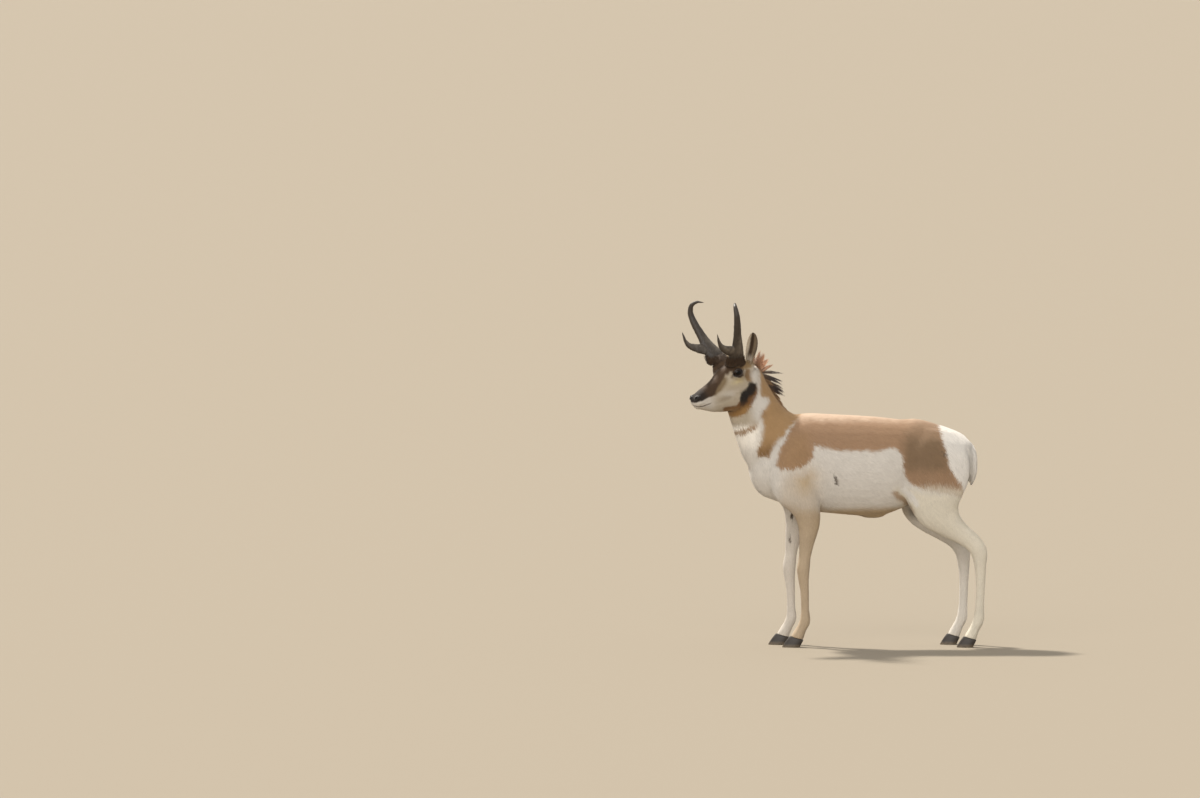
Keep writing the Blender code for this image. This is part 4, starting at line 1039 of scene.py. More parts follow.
def hair_streaks():
    group = bpy.data.node_groups.new("hair_streaks", "ShaderNodeTree")
    for name, in_out, kind in (
        ("Colour", "INPUT", "Color"), ("Strand width", "INPUT", "Float"),
        ("Contrast", "INPUT", "Float"), ("Colour", "OUTPUT", "Color"), ("Height", "OUTPUT", "Float"),
    ):
        group.interface.new_socket(name, in_out=in_out, socket_type="NodeSocket" + kind)
    entry = group.nodes.new("NodeGroupInput").outputs
    place = object_place(group)
    lie = attribute(group, "lie", "Vector")
    along = add_node(group, "ShaderNodeVectorMath", {0: place, 1: lie}, "Value",
                     operation="DOT_PRODUCT")
    share = work_out(group, "MULTIPLY", along, -ALONG_THE_LIE)
    spread = add_node(group, "ShaderNodeCombineXYZ", {"X": share, "Y": share, "Z": share})
    squeezed = add_node(group, "ShaderNodeVectorMath", {0: lie, 1: spread, 2: place},
                        operation="MULTIPLY_ADD")
    fine = grain_of(group, squeezed, work_out(group, "DIVIDE", 1, entry["Strand width"]), 3)
    broad = grain_of(group, place, 26, 4)
    both = work_out(group, "MULTIPLY_ADD", broad, 0.5, fine)
    centred = work_out(group, "SUBTRACT", both, 0.75)
    bright = work_out(group, "MULTIPLY_ADD", centred, entry["Contrast"], 1)
    tinted = add_node(group, "ShaderNodeVectorMath", {0: entry["Colour"], "Scale": bright},
                      operation="SCALE")
    feed(group, group.nodes.new("NodeGroupOutput"), {"Colour": tinted, "Height": fine})
    return group


STREAKS = hair_streaks()
print(STREAKS.name, "has", len(STREAKS.nodes), "nodes")

# %% Finish of the skin and of the tufts
def coat_material(name, strand, contrast, roughness, bump):
    made, tree, shader = new_material(name, roughness)
    streaks = set_all(tree.nodes.new("ShaderNodeGroup"), {"node_tree": STREAKS})
    feed(tree, streaks, {"Strand width": strand, "Contrast": contrast,
                         "Colour": attribute(tree, "coat_colour", "Color")})
    feed(tree, shader, {"Base Color": streaks.outputs["Colour"], "Sheen Weight": 0.12,
                        "Sheen Roughness": 0.5, "Specular IOR Level": 0.25})
    add_relief(tree, shader, streaks.outputs["Height"], bump, 0.6)
    return made, tree, shader


skin_material, tree, shader = coat_material("skin_under_coat", strand=0.0016, contrast=0.5,
                                            roughness=0.8, bump=0.0012)
feed(tree, shader, {"Roughness": between(tree, attribute(tree, "bare"), 0.82, 0.38)})
finish_surface(skin, skin_material)
hair_material = coat_material("coat_tufts", strand=0.0014, contrast=0.25, roughness=0.72,
                              bump=0.0003)[0]
print(skin_material.name, "and", hair_material.name, "share", STREAKS.name)

# %% [markdown]
# ## Ears
# Each ear is a thin cupped leaf. A copy of its solid is subdivided smooth; its root stays sunk in
# the head. It becomes part of the skin's mesh, so that skin and ears are one piece. The cup opens
# outward: inside it a pale front rim, painted shade in the hollow and paler streaks follow each other.

# %% An ear's own places and its paint
EAR_ROOT = Vector((0.052, 0.260, 0.066))
EAR_LENGTH = 0.134
EAR_HALF_WIDTH = 0.021
EAR_CUP_DEPTH = 0.012
# The side the ear is on, its way up, and the way its cup opens, upright and turned with the head
EAR_WAYS = {
    "ear_left": (1, (0.48, -0.24, 0.83), (0.55, -0.80, -0.10)),
    "ear_right": (-1, (0.94, 0.05, 0.28), (0.25, -0.55, -0.80)),
}


def ear_frame(name):
    """Root, way up, way the cup opens and way to the front rim of an ear."""
    side, up, opens = EAR_WAYS[name]
    turn = Matrix.Rotation(HEAD_TURN, 3, "Z")
    up = (turn @ on_side(side, up)).normalized()
    opens = turn @ on_side(side, opens)
    opens = (opens - up * opens.dot(up)).normalized()
    front = up.cross(opens) * side
    if front.dot(turn @ Vector((0, -1, 0))) < 0:
        front = -front
    root = HEAD @ on_side(side, EAR_ROOT)
    return [np.array(v) for v in (root, up, opens, front)]


def ear_places(points, normals, name):
    """Share of the ear's length, place between rear rim -1 and front rim 1, and 1 for inside."""
    root, up, opens, front = ear_frame(name)
    away = points - root
    share = away @ up / EAR_LENGTH
    width = EAR_HALF_WIDTH * np.clip(1.15 - np.abs(share - 0.45) ** 2 * 2.6, 0.25, 1)
    place = away @ front / width
    middle = root + up * (away @ up)[:, None] + opens * EAR_CUP_DEPTH
    inside = ((points - middle) * normals).sum(axis=1) < 0
    return share, place, inside


def paint_ear(points, normals, name):
    share, place, inside = ear_places(points, normals, name)
    back = painted(len(points), EAR_TAN, (
        (MASK_BROWN, ramp(0.75, 1.0, share) * 0.8),
        (MASK_BROWN, ramp(-0.75, -0.95, place) * 0.4),
    ))
    streaks = 0.5 + 0.5 * noise(np.stack([place * 0.02, share * 0.03, share * 0], axis=1), 0.004, 15)
    # Inside the cup: painted shade in the hollow, with a pale front rim and paler streaks
    hollow = painted(len(points), EAR_HOLLOW_SHADE, (
        (EAR_TAN, ramp(0.10, -0.25, place) * (0.45 + 0.4 * streaks)),
        (EAR_PALE, ramp(0.42, 0.72, place)),
        (EAR_PALE, ramp(0.25, 0.05, share) * 0.6),
        (MASK_BROWN, ramp(-0.80, -0.95, place)),
    ))
    return np.where(inside[:, None], hollow, back)

# %% Smooth the ears and join them to the skin
def join_meshes(target, others):
    work = bmesh.new()
    work.from_mesh(target.data)
    for other in others:
        work.from_mesh(other.data)
    write_mesh(work, target.data)
    for other in others:
        bpy.data.objects.remove(other)


def smooth_ear(name):
    ear = object_from(name + "_skin", merged_copy(name))
    applied(with_modifier(ear, "SUBSURF", levels=2, render_levels=2))
    points, normals = surface_of(ear.data)
    set_colour(ear.data, "coat_colour", paint_ear(points, normals, name))
    set_vector(ear.data, "lie", np.tile(ear_frame(name)[1], (len(points), 1)))
    set_value(ear.data, "bare", np.zeros(len(points)))
    ear.data.shade_smooth()
    return ear


join_meshes(skin, [smooth_ear(name) for name in EARS])
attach(skin, "root")
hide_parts(*FLESH, *EARS)
print("skin and ears:", len(skin.data.polygons), "faces")

# %% [markdown]
# ## Tufts
# A tuft is a flat spindle: a point sunk in the skin, a three-sided waist, and a tip, six
# triangles in all. Where the hair is long and bends it has two or three waists, and twelve or
# eighteen triangles. Tens of thousands of them follow the lie of the coat. Each gets the colour of
# the place it grows from, a little darker or lighter than its neighbours. They are built as arrays
# because there are so many.

# %% Spread roots over the skin
# Places drawn for each cell of the spacing, of which one is kept
DRAWN_A_CELL = 1.9


def triangles_of(mesh):
    mesh.calc_loop_triangles()
    faces = np.empty(len(mesh.loop_triangles) * 3, np.int32)
    mesh.loop_triangles.foreach_get("vertices", faces)
    return faces.reshape(-1, 3)


def spread_roots(points, faces, normals, spacing, chance):
    """Places on the triangles about a spacing apart, with the smooth normal at each."""
    a, b, c = (points[faces[:, k]] for k in range(3))
    areas = np.linalg.norm(np.cross(b - a, c - a), axis=1) / 2
    count = int(areas.sum() / spacing**2 * DRAWN_A_CELL)
    chosen = np.searchsorted(np.cumsum(areas), chance.random(count) * areas.sum())
    chosen = np.minimum(chosen, len(faces) - 1)
    u, v = chance.random((2, count))
    over = u + v > 1
    u[over], v[over] = 1 - u[over], 1 - v[over]
    weights = np.stack([1 - u - v, u, v], axis=1)[:, :, None]
    spots = (points[faces[chosen]] * weights).sum(axis=1)
    ways = unit((normals[faces[chosen]] * weights).sum(axis=1))
    cells = np.floor(spots / spacing).astype(np.int64) @ LATTICE_PRIMES
    kept = np.unique(cells, return_index=True)[1]
    return spots[kept], ways[kept]

# %% [markdown]
# A tuft's cross-section is a flat triangle, so its sides would catch the light in all directions
# and the coat would look like gravel. Hairs in a real coat lie so close that light plays over the
# form beneath them. The tufts therefore carry normals that are mostly those of the skin. Fine hair
# also lets light through, while a mesh would throw a black shadow into every gap. The short coat
# therefore casts no shadow of its own: the skin under it, the mane and the horns cast them.

# %% Build tufts as one mesh
WAIST = ((0.0, 1.0), (0.87, -0.5), (-0.87, -0.5))
SPANS = {3: (1.0,), 4: (1.0, 0.74), 5: (0.85, 1.0, 0.62)}


def build_strands(name, paths, normals, widths, colours, chance, unwrap, flat=0.4, tint=0.05,
                  tones=(0.93, 1.04), rounding=0.22, shadow=True):
    """Closed blades along the paths: a point, flat three-sided waists, and a point again."""
    count, steps = paths.shape[:2]
    size = 2 + 3 * (steps - 2)
    made = np.empty((count, size, 3))
    shading = np.repeat(normals[:, None, :], size, axis=1)
    made[:, 0] = paths[:, 0]
    made[:, -1] = paths[:, -1]
    for k, span in enumerate(SPANS[steps]):
        ahead = unit(paths[:, k + 2] - paths[:, k])
        across = unit(np.cross(ahead, normals))
        upward = np.cross(across, ahead)
        for j, (a, b) in enumerate(WAIST):
            offset = across * a + upward * (flat * b)
            made[:, 1 + 3 * k + j] = paths[:, k + 1] + offset * (widths * span * 0.5)[:, None]
            shading[:, 1 + 3 * k + j] = unit(normals + (across * a + upward * b) * rounding)
    faces = []
    for j in range(3):
        k = (j + 1) % 3
        faces.append((0, 1 + k, 1 + j))
        for ring in range(steps - 3):
            lower, upper = 1 + 3 * ring, 4 + 3 * ring
            faces.append((lower + j, lower + k, upper + j))
            faces.append((lower + k, upper + k, upper + j))
        last = 1 + 3 * (steps - 3)
        faces.append((last + j, last + k, size - 1))
    corners = (np.array(faces)[None] + (np.arange(count) * size)[:, None, None]).reshape(-1, 3)
    mesh = bpy.data.meshes.new(name)
    mesh.vertices.add(count * size)
    mesh.vertices.foreach_set("co", made.astype(np.float32).ravel())
    mesh.loops.add(corners.size)
    mesh.loops.foreach_set("vertex_index", corners.astype(np.int32).ravel())
    mesh.polygons.add(len(corners))
    mesh.polygons.foreach_set("loop_start", np.arange(0, corners.size, 3, dtype=np.int32))
    mesh.update(calc_edges=True)
    along = np.concatenate([[0], np.repeat(np.arange(1, steps - 1), 3), [steps - 1]])
    tone = np.linspace(*tones, steps)[along]
    if colours.ndim == 2:
        colours = np.repeat(colours[:, None, :], steps, axis=1)
    shades = colours[:, along] * tone[None, :, None]
    shades *= 1 + tint * chance.standard_normal(count)[:, None, None]
    set_colour(mesh, "coat_colour", np.clip(shades, 0, 0.95).reshape(-1, 3))
    set_vector(mesh, "lie", np.repeat(unit(paths[:, -1] - paths[:, 0]), size, axis=0))
    place_uv(mesh, corners, paths[:, 0], size, unwrap)
    mesh.shade_smooth()
    mesh.normals_split_custom_set_from_vertices(shading.reshape(-1, 3).astype(np.float32))
    mesh.materials.append(hair_material)
    piece = add_object(name, mesh)
    piece.visible_shadow = shadow
    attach(piece, "root")
    print(name, count, "strands,", len(corners), "triangles")
    return piece

# %% [markdown]
# Each coat piece has a UV map in which a tuft is a tiny patch at its root's place. The unwrap
# rolls the skin off like a label: round an axis through the part, and along it.

# %% Unwrap round an axis
PATCH = 0.003


def rolled_off(points, start, end):
    """The angle round the axis from start to end and the place along it, both from 0 to 1."""
    start, end = np.array(start), np.array(end)
    axis = (end - start) / np.linalg.norm(end - start)
    first = np.cross(axis, (0.0, 0.6, 0.8))
    first /= np.linalg.norm(first)
    second = np.cross(axis, first)
    away = points - start
    angle = np.arctan2(away @ second, away @ first)
    flat = np.stack([angle, away @ axis], axis=1)
    lowest, highest = flat.min(axis=0), flat.max(axis=0)
    return 0.01 + 0.98 * (flat - lowest) / (highest - lowest + 1e-9)


def place_uv(mesh, corners, roots, size, axis):
    flat = rolled_off(roots, *axis)
    steps = np.linspace(-0.5, 0.5, size) * PATCH
    swing = np.where(np.arange(size) % 2, 0.5, -0.5) * PATCH
    spots = flat[:, None, :] + np.stack([swing, steps], axis=1)[None]
    layer = mesh.uv_layers.new(name="OFBake")
    layer.data.foreach_set("uv", spots.reshape(-1, 2)[corners.ravel()].astype(np.float32).ravel())

# %% Which part of the body each triangle of the skin belongs to
PARTS = (*FLESH, *EARS)
skin_points, skin_normals = surface_of(skin.data)
skin_faces = triangles_of(skin.data)
centres = skin_points[skin_faces].mean(axis=1)


def nearest_part(places):
    """The index in PARTS of the solid nearest to each place."""
    joined = []
    owner = []
    for index, name in enumerate(PARTS):
        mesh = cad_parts[name].data
        faces = triangles_of(mesh)
        joined.append((read_vectors(mesh.vertices, "co"), faces))
        owner += [index] * len(faces)
    verts = np.vstack([points for points, faces in joined])
    starts = np.cumsum([0] + [len(points) for points, faces in joined[:-1]])
    polys = np.vstack([faces + start for (points, faces), start in zip(joined, starts)])
    tree = BVHTree.FromPolygons([Vector(p) for p in verts], polys.tolist())
    return np.array([owner[tree.find_nearest(Vector(p))[2]] for p in places])


part_of = nearest_part(centres)
for index, name in enumerate(PARTS):
    print(name, int((part_of == index).sum()), "triangles of skin")

# %% [markdown]
# A hair lies along the skin, also where the skin curves away beneath it. So each point of its path
# is set at its own height over the nearest place of the skin. Hairs rise steeply out of the skin
# and then run level, which is what keeps a coat smooth.

# %% Lay the hairs along the skin
def together(rows):
    """Several pieces' arrays, each kind joined into one."""
    return [np.concatenate(parts) for parts in zip(*rows)]


skin_tree = BVHTree.FromPolygons(skin_points.tolist(), skin_faces.tolist())


def set_over(tree, points, heights):
    """The points moved to the given heights over the nearest places of a surface."""
    found = [tree.find_nearest(point) for point in points.tolist()]
    places = np.array([hit[0][:] for hit in found])
    ways = np.array([hit[1][:] for hit in found])
    return places + ways * heights[:, None]


CURL = 0.2
ROOT_SINK = 0.0015


def lying_paths(roots, normals, lies, lengths, heights, chance, steps=3, sway=0.14, sink=ROOT_SINK,
                over=skin_tree):
    """Paths that rise from under the skin and then lie along it."""
    flat_lies = unit(lies - normals * (lies * normals).sum(axis=1, keepdims=True))
    across = np.cross(flat_lies, normals)
    swing = chance.normal(0, sway, len(roots)) + CURL * noise(roots, 0.035, 7)
    ways = unit(flat_lies + across * swing[:, None])
    paths = np.empty((len(roots), steps, 3))
    paths[:, 0] = roots - normals * sink
    for k in range(1, steps):
        share = k / (steps - 1)
        rise = heights * (1 - (1 - share) ** 2.2) * (1 - 0.15 * share**2)
        paths[:, k] = set_over(over, roots + ways * (lengths * share)[:, None], rise)
    return paths

# %% [markdown]
# Spacing and width change from part to part: broad tufts on the trunk, small ones on the face and
# feet. Where the skin is bare, on the nose and round the eyes, none grow.

# %% Axes and measures of the short coat
DENSITY = 1.0
AXES = {
    "head": ((0.176, -0.631, 0.90), (0.000, -0.400, 0.98)),
    "neck": ((0.010, -0.430, 1.00), (0.000, -0.320, 0.72)),
    "torso": ((0.000, -0.500, 0.680), (0.000, 0.450, 0.690)),
    "tail": ((0.000, 0.405, 0.800), (0.000, 0.405, 0.590)),
    "foreleg_left": ((0.078, -0.215, 0.800), (0.074, -0.210, 0.000)),
    "foreleg_right": ((-0.078, -0.255, 0.800), (-0.074, -0.260, 0.000)),
    "hindleg_left": ((0.080, 0.290, 0.800), (0.080, 0.440, 0.000)),
    "hindleg_right": ((-0.080, 0.250, 0.800), (-0.080, 0.385, 0.000)),
    "ear_left": ((0.06, -0.40, 1.07), (0.09, -0.41, 1.18)),
    "ear_right": ((-0.04, -0.50, 1.07), (-0.12, -0.52, 1.10)),
}
# Spacing between roots, width as a share of the length
SHORT_COAT = {
    "head": (0.00175, 0.115),
    "neck": (0.0024, 0.076),
    "torso": (0.0026, 0.084),
    "tail": (0.0028, 0.050),
    "foreleg_left": (0.0031, 0.115),
    "foreleg_right": (0.0031, 0.115),
    "hindleg_left": (0.0031, 0.095),
    "hindleg_right": (0.0031, 0.095),
    "ear_left": (0.0016, 0.10),
    "ear_right": (0.0016, 0.10),
}
EAR_HAIR_LENGTH, EAR_HAIR_DEPTH = 0.0065, 0.0006
FLAT_TUFT = 0.16
# Tufts paler at the root: partly the hair's pale base, partly painted light against the shade between
# tufts
PALE_ROOT_AND_GAP_LIGHT_TO_TIP = (1.10, 1.0)
LEAST_HEIGHT = 0.0004

# %% Grow the short coat
def moved_axis(name):
    return [np.array(point) + np.array(BODY_SHIFT) for point in AXES[name]]


def grow(name, part, faces, chance):
    """One piece of short coat on the given triangles of the skin."""
    spacing, slimness = SHORT_COAT[part]
    spots, ways = spread_roots(skin_points, faces, skin_normals, spacing / DENSITY**0.5, chance)
    bald = bareness(spots) * head_share(spots)
    spots, ways = spots[bald < 0.5], ways[bald < 0.5]
    if part in EARS:
        lies = np.tile(ear_frame(part)[1], (len(spots), 1))
        lengths = np.full(len(spots), EAR_HAIR_LENGTH)
        depths = np.full(len(spots), EAR_HAIR_DEPTH)
        colours = paint_ear(spots, ways, part)
    else:
        lies, lengths, depths = hair_at(spots)
        colours = coat_colour(spots, ways)
    lengths = lengths * chance.uniform(0.75, 1.2, len(spots))
    heights = depths * (0.95 + 0.12 * noise(spots, 0.02, 8) + chance.uniform(-0.15, 0.15, len(spots)))
    paths = lying_paths(spots, ways, lies, lengths, np.maximum(heights, LEAST_HEIGHT), chance)
    return build_strands(name, paths, ways, lengths * slimness, colours, chance, moved_axis(part),
                         flat=FLAT_TUFT, tones=PALE_ROOT_AND_GAP_LIGHT_TO_TIP, shadow=False)


for index, part in enumerate(PARTS):
    mine = skin_faces[part_of == index]
    chance = np.random.default_rng(100 + index)
    if part == "torso":
        left = centres[part_of == index][:, 0] > BODY_SHIFT.x
        grow("coat_torso_left", part, mine[left], chance)
        grow("coat_torso_right", part, mine[~left], chance)
    else:
        grow("coat_" + part, part, mine, chance)

# %% [markdown]
# ## The mane
# Down the crest of the neck stands a short mane: rusty tufts behind the ears, then dark and tan
# locks in turn that lie back and droop. Each lock is a bundle of long hairs that start side by
# side on the crest, bow out, and meet again in a point. Its tip is dark where the photo shows it
# dark against the light.

# %% Measures and paints of the mane
MANE_TOP, MANE_END = Vector((0.016, -0.385, 1.072)), Vector((0.000, -0.300, 0.905))
# Share of the way down the crest, lift in degrees, length, droop
MANE_ROWS = np.array((
    (0.00, 76, 0.096, 0.08), (0.08, 62, 0.088, 0.12), (0.15, 34, 0.088, 0.20),
    (0.19, -10, 0.124, 0.24), (0.24, -4, 0.120, 0.24), (0.28, 0, 0.080, 0.26),
    (0.31, -6, 0.056, 0.30), (0.38, -8, 0.056, 0.30), (0.41, -2, 0.092, 0.28),
    (0.49, -5, 0.086, 0.30), (0.53, -14, 0.058, 0.34), (0.75, -22, 0.050, 0.36),
    (0.90, -32, 0.042, 0.38),
))
MANE_STEPS = 17
MANE_REACH, MANE_STAGGER = 0.93, 0.024
MANE_COLUMNS = (-0.019, -0.007, 0.007, 0.019)
HAIRS_IN_LOCK = 50
LOCK_HALF_WIDTH = 0.0060
LOCK_ROOT_DEPTH = 0.009
LOCK_ROOT_SPREAD = 0.006
MANE_HAIR_WIDTH = 0.0012
# How much a lock's way has to point out of the skin
LEAST_RISE = 0.38
# Share of the way down the crest, paint of the locks there
MANE_PAINTS = (
    (0.00, MANE_RED), (0.15, MANE_RED), (0.175, MANE_DARK), (0.285, MANE_DARK), (0.31, MANE_TAN),
    (0.39, MANE_TAN), (0.41, MANE_DARK), (0.50, MANE_DARK), (0.535, MANE_TAN), (1.00, MANE_TAN),
)

# %% Locks of the mane
def lock_colour(share, chance):
    """The paint of a lock from root to tip: tan where it leaves the coat, its own colour further out."""
    marks = np.array([row[0] for row in MANE_PAINTS])
    paints = np.array([row[1] for row in MANE_PAINTS])
    tip = np.array([np.interp(share, marks, paints[:, k]) for k in range(3)])
    tip *= chance.uniform(0.85, 1.12)
    return np.array([MANE_TAN + (tip - MANE_TAN) * s for s in (0.1, 0.6, 1.0, 1.0, 1.0)])


def mane_lock(share, column, chance):
    """Paths, normals and colours of the hairs of one lock."""
    lift, length, droop = (np.interp(share, MANE_ROWS[:, 0], MANE_ROWS[:, k]) for k in (1, 2, 3))
    lift = math.radians(lift + chance.uniform(-5, 5))
    length *= chance.uniform(0.88, 1.03) * (1 - 6 * abs(column))
    turn = HEAD_TURN * (1 - share)
    side_way = Vector((math.cos(turn), math.sin(turn), 0))
    back_way = Vector((-math.sin(turn), math.cos(turn), 0))
    ahead = back_way * math.cos(lift) + Vector((0, 0, math.sin(lift)))
    ahead = (ahead + side_way * (column * 9 + chance.uniform(-0.1, 0.1))).normalized()
    flat = Matrix.Rotation(math.radians(chance.uniform(10, 60)), 3, ahead) @ side_way
    fall = Vector((0, 0, -droop * chance.uniform(0.85, 1.15)))
    middle = BODY_SHIFT + MANE_TOP.lerp(MANE_END, share) + side_way * column + back_way * 0.03
    colour = lock_colour(share, chance)
    paths = []
    normals = []
    for u in chance.uniform(-1, 1, HAIRS_IN_LOCK):
        start = middle + side_way * (u * LOCK_ROOT_SPREAD) + Vector((0, 0, chance.uniform(-0.004, 0.004)))
        surface, normal = skin_tree.find_nearest(start)[:2]
        rises = ahead.dot(normal) > LEAST_RISE
        way = ahead if rises else (ahead + normal * LEAST_RISE).normalized()
        size = length * (1 - 0.28 * abs(chance.normal(0, 0.6)))
        root = surface - normal * LOCK_ROOT_DEPTH
        thick = chance.normal(0, 0.0016)
        path = [root]
        for s in (0.28, 0.55, 0.8, 1.0):
            bow = u * LOCK_HALF_WIDTH * (0.8 + 0.55 * s) * (1 - s**2.2)
            path.append(root + way * (size * s) + fall * (size * s * s) + flat * bow
                        + normal * (thick * (1 - s)))
        paths.append(path)
        normals.append((normal + way * 0.2).normalized())
    return paths, normals, [colour] * HAIRS_IN_LOCK


chance = np.random.default_rng(5)
paths, normals, colours = together(
    mane_lock(share + MANE_STAGGER * (k % 2), column, chance)
    for share in np.linspace(0, MANE_REACH, MANE_STEPS)
    for k, column in enumerate(MANE_COLUMNS)
)
build_strands("mane", paths, normals, np.full(len(paths), MANE_HAIR_WIDTH), colours, chance,
              moved_axis("neck"), rounding=0.7, tint=0.14)

# %% [markdown]
# ## Long hair on the rump
# The rump's white hair is the longest of the coat and stands off a little, so the patch looks
# soft and full from behind. Thin hairs are laid over the broad tufts there.

# %% Long white hair
RUMP_SPACING = 0.0052
RUMP_HAIR = (0.026, 0.038)
RUMP_HAIR_WIDTH = 0.0015
RUMP_STAND_OFF = 1.15

chance = np.random.default_rng(61)
own = body_places(centres)
behind = (own[:, 1] > 0.24) & (own[:, 2] > 0.52) & (part_of != PARTS.index("tail"))
spots, ways = spread_roots(skin_points, skin_faces[behind], skin_normals, RUMP_SPACING, chance)
own = near_side(body_places(spots))
keep = inside_outline(own[:, 1], side_height(own), RUMP) > 0.010
spots, ways = spots[keep], ways[keep]
lies, lengths, depths = hair_at(spots)
lengths = chance.uniform(*RUMP_HAIR, len(spots))
paths = lying_paths(spots, ways, lies, lengths, depths * RUMP_STAND_OFF, chance, steps=5, sway=0.10)
build_strands("rump_hair", paths, ways, np.full(len(spots), RUMP_HAIR_WIDTH),
              coat_colour(spots, ways), chance, moved_axis("torso"),
              shadow=False)

# %% [markdown]
# ## Horns
# A pronghorn's horn is a black sheath over a bony core: rough and warty at its foot, ridged along
# its length, and polished towards the hooked tip and the prong. A copy of the solid is remeshed
# finer and its surface raised by noise that is stretched along the horn. A pale painted sheen lies
# on the rear of each lower beam, where the sun beyond the animal glints on it.

# %% Model and finish the horns
def horn_material():
    made, tree, shader = new_material("horn_sheath", 0.42)
    drawn_out = add_node(tree, "ShaderNodeMapping",
                         {"Vector": object_place(tree), "Scale": (1, 1, 0.16)})
    grain = grain_of(tree, drawn_out, 260, 5)
    dark = blend(tree, grain, paint(26, 22, 20), paint(72, 61, 50))
    # Pale where the painted sheen lies
    colour = blend(tree, attribute(tree, "painted_sheen"), dark, paint(150, 140, 126))
    feed(tree, shader, {"Base Color": colour, "Roughness": between(tree, grain, 0.34, 0.66)})
    add_relief(tree, shader, grain, 0.0012, 0.7)
    return made


HORN = horn_material()
HORN_VOXEL = 0.0013
# How strong the painted sheen is on each horn
HORN_SHEEN = {"horn_left": 0.4, "horn_right": 0.45}
HORN_SWELL, RIDGE_HEIGHT, WART_HEIGHT = 0.0003, 0.0007, 0.0011
FOOT_FLARE, FRONT_FLARE = 0.0012, 0.0060
PRONG_SIDE = np.array(HEAD.to_3x3() @ Vector((0, -1, 0)))


def fine_horn(node):
    horn = object_from(node + "_sheath", merged_copy(node))
    with_modifier(horn, "REMESH", mode="VOXEL", voxel_size=HORN_VOXEL)
    applied(with_modifier(horn, "SMOOTH", factor=0.5, iterations=16))
    points, normals = surface_of(horn.data)
    low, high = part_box(node)
    rise = (points[:, 2] - low.z) / (high.z - low.z)
    ridges = noise(points * (1, 1, 0.13), 0.0042, 11)
    warts = noise(points, 0.006, 12)
    foot = ramp(0.45, 0.10, rise)
    move = HORN_SWELL + RIDGE_HEIGHT * ridges * ramp(1.0, 0.55, rise) + WART_HEIGHT * warts * foot
    move += FOOT_FLARE * ramp(0.10, 0.02, rise)
    move += FRONT_FLARE * ramp(0.28, 0.02, rise) * np.clip(normals @ PRONG_SIDE, 0, 1)
    move_points(horn.data, points + normals * move[:, None])
    # A pale painted sheen on the rear of the lower beam, where the sun beyond the animal glints on it
    patch = ramp(0.16, 0.26, rise) * ramp(0.52, 0.36, rise) * ramp(0.1, 0.7, normals[:, 1])
    painted_sheen = patch * (0.55 + 0.45 * noise(points, 0.012, 13)) * HORN_SHEEN[node]
    set_value(horn.data, "painted_sheen", np.clip(painted_sheen, 0, 1))
    finish_surface(horn, HORN)
    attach(horn, "root")
    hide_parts(node)
    print(horn.name, len(horn.data.polygons), "faces")
    return horn


HORNS = {node: fine_horn(node) for node in HORN_SHEEN}

# %% [markdown]
# Where the sheath leaves the skin, the forehead's dark hair climbs a little way up it and hides
# the joint. These hairs root in the skin close to the horn and under the edge of its foot. Each
# point of a hair is pulled to the horn's own surface as it rises, and stands off further on the
# prong's side, where the hair is thickest.

# %% Measures and lower roots of the collar
COLLAR_REACH = 0.013
COLLAR_SPACING, FOOT_SPACING = 0.0016, 0.0013
COLLAR_HAIR_WIDTH = 0.0011
COLLAR_SWAY = 0.22
COLLAR_HAIR = (0.014, 0.030)
COLLAR_LIFT = (0.0008, 0.0045)
FRONT_LIFT = 0.007
HORN_FOOT = 0.085
EDGE_DROP = 0.0045


def foot_roots(horn, node, upward, chance):
    """Places just under the edge of a horn's foot, and the way the horn faces there."""
    points, normals = surface_of(horn.data)
    faces = triangles_of(horn.data)
    low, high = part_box(node)
    rise = (points[:, 2] - low.z) / (high.z - low.z)
    beside = (rise < HORN_FOOT) & (np.abs(normals @ np.array(upward)) < 0.6)
    spots, ways = spread_roots(points, faces[beside[faces].all(axis=1)], normals,
                               FOOT_SPACING, chance)
    return spots - np.array(upward) * EDGE_DROP - ways * 0.001, ways

# %% Hair round the foot of each horn
def horn_collar(horn, node, chance):
    """Paths, the skin's normals and the roots of the hairs round one horn."""
    tree = tree_of(horn.data)
    on_head = np.nonzero(part_of == PARTS.index("head"))[0]
    close = [i for i in on_head if tree.find_nearest(Vector(centres[i]), COLLAR_REACH)[3] is not None]
    spots, ways = spread_roots(skin_points, skin_faces[close], skin_normals, COLLAR_SPACING, chance)
    upward = HEAD.to_3x3() @ Vector((0, 0.1, 1)).normalized()
    more_spots, more_ways = foot_roots(horn, node, upward, chance)
    spots, ways = np.vstack([spots, more_spots]), np.vstack([ways, more_ways])
    paths = []
    for base, way in zip(map(Vector, spots), map(Vector, ways)):
        distance = tree.find_nearest(base)[3]
        side = upward.cross(way) * chance.normal(0, COLLAR_SWAY)
        length = chance.uniform(*COLLAR_HAIR) * (1.05 - 0.4 * distance / COLLAR_REACH)
        outside = chance.uniform(*COLLAR_LIFT) + distance * 0.25
        path = [base - way * ROOT_SINK]
        for s in (0.33, 0.66, 1.0):
            raised = base + way * 0.001 + (upward + side) * (length * s)
            surface, normal = tree.find_nearest(raised)[:2]
            ahead = max(0.0, normal.dot(Vector(PRONG_SIDE)))
            beside = surface + normal * (outside + FRONT_LIFT * ahead * chance.uniform(0, 1) * s)
            path.append(raised.lerp(beside, min(1.0, s * 1.5)))
        paths.append(path)
    return np.array(paths), ways, spots


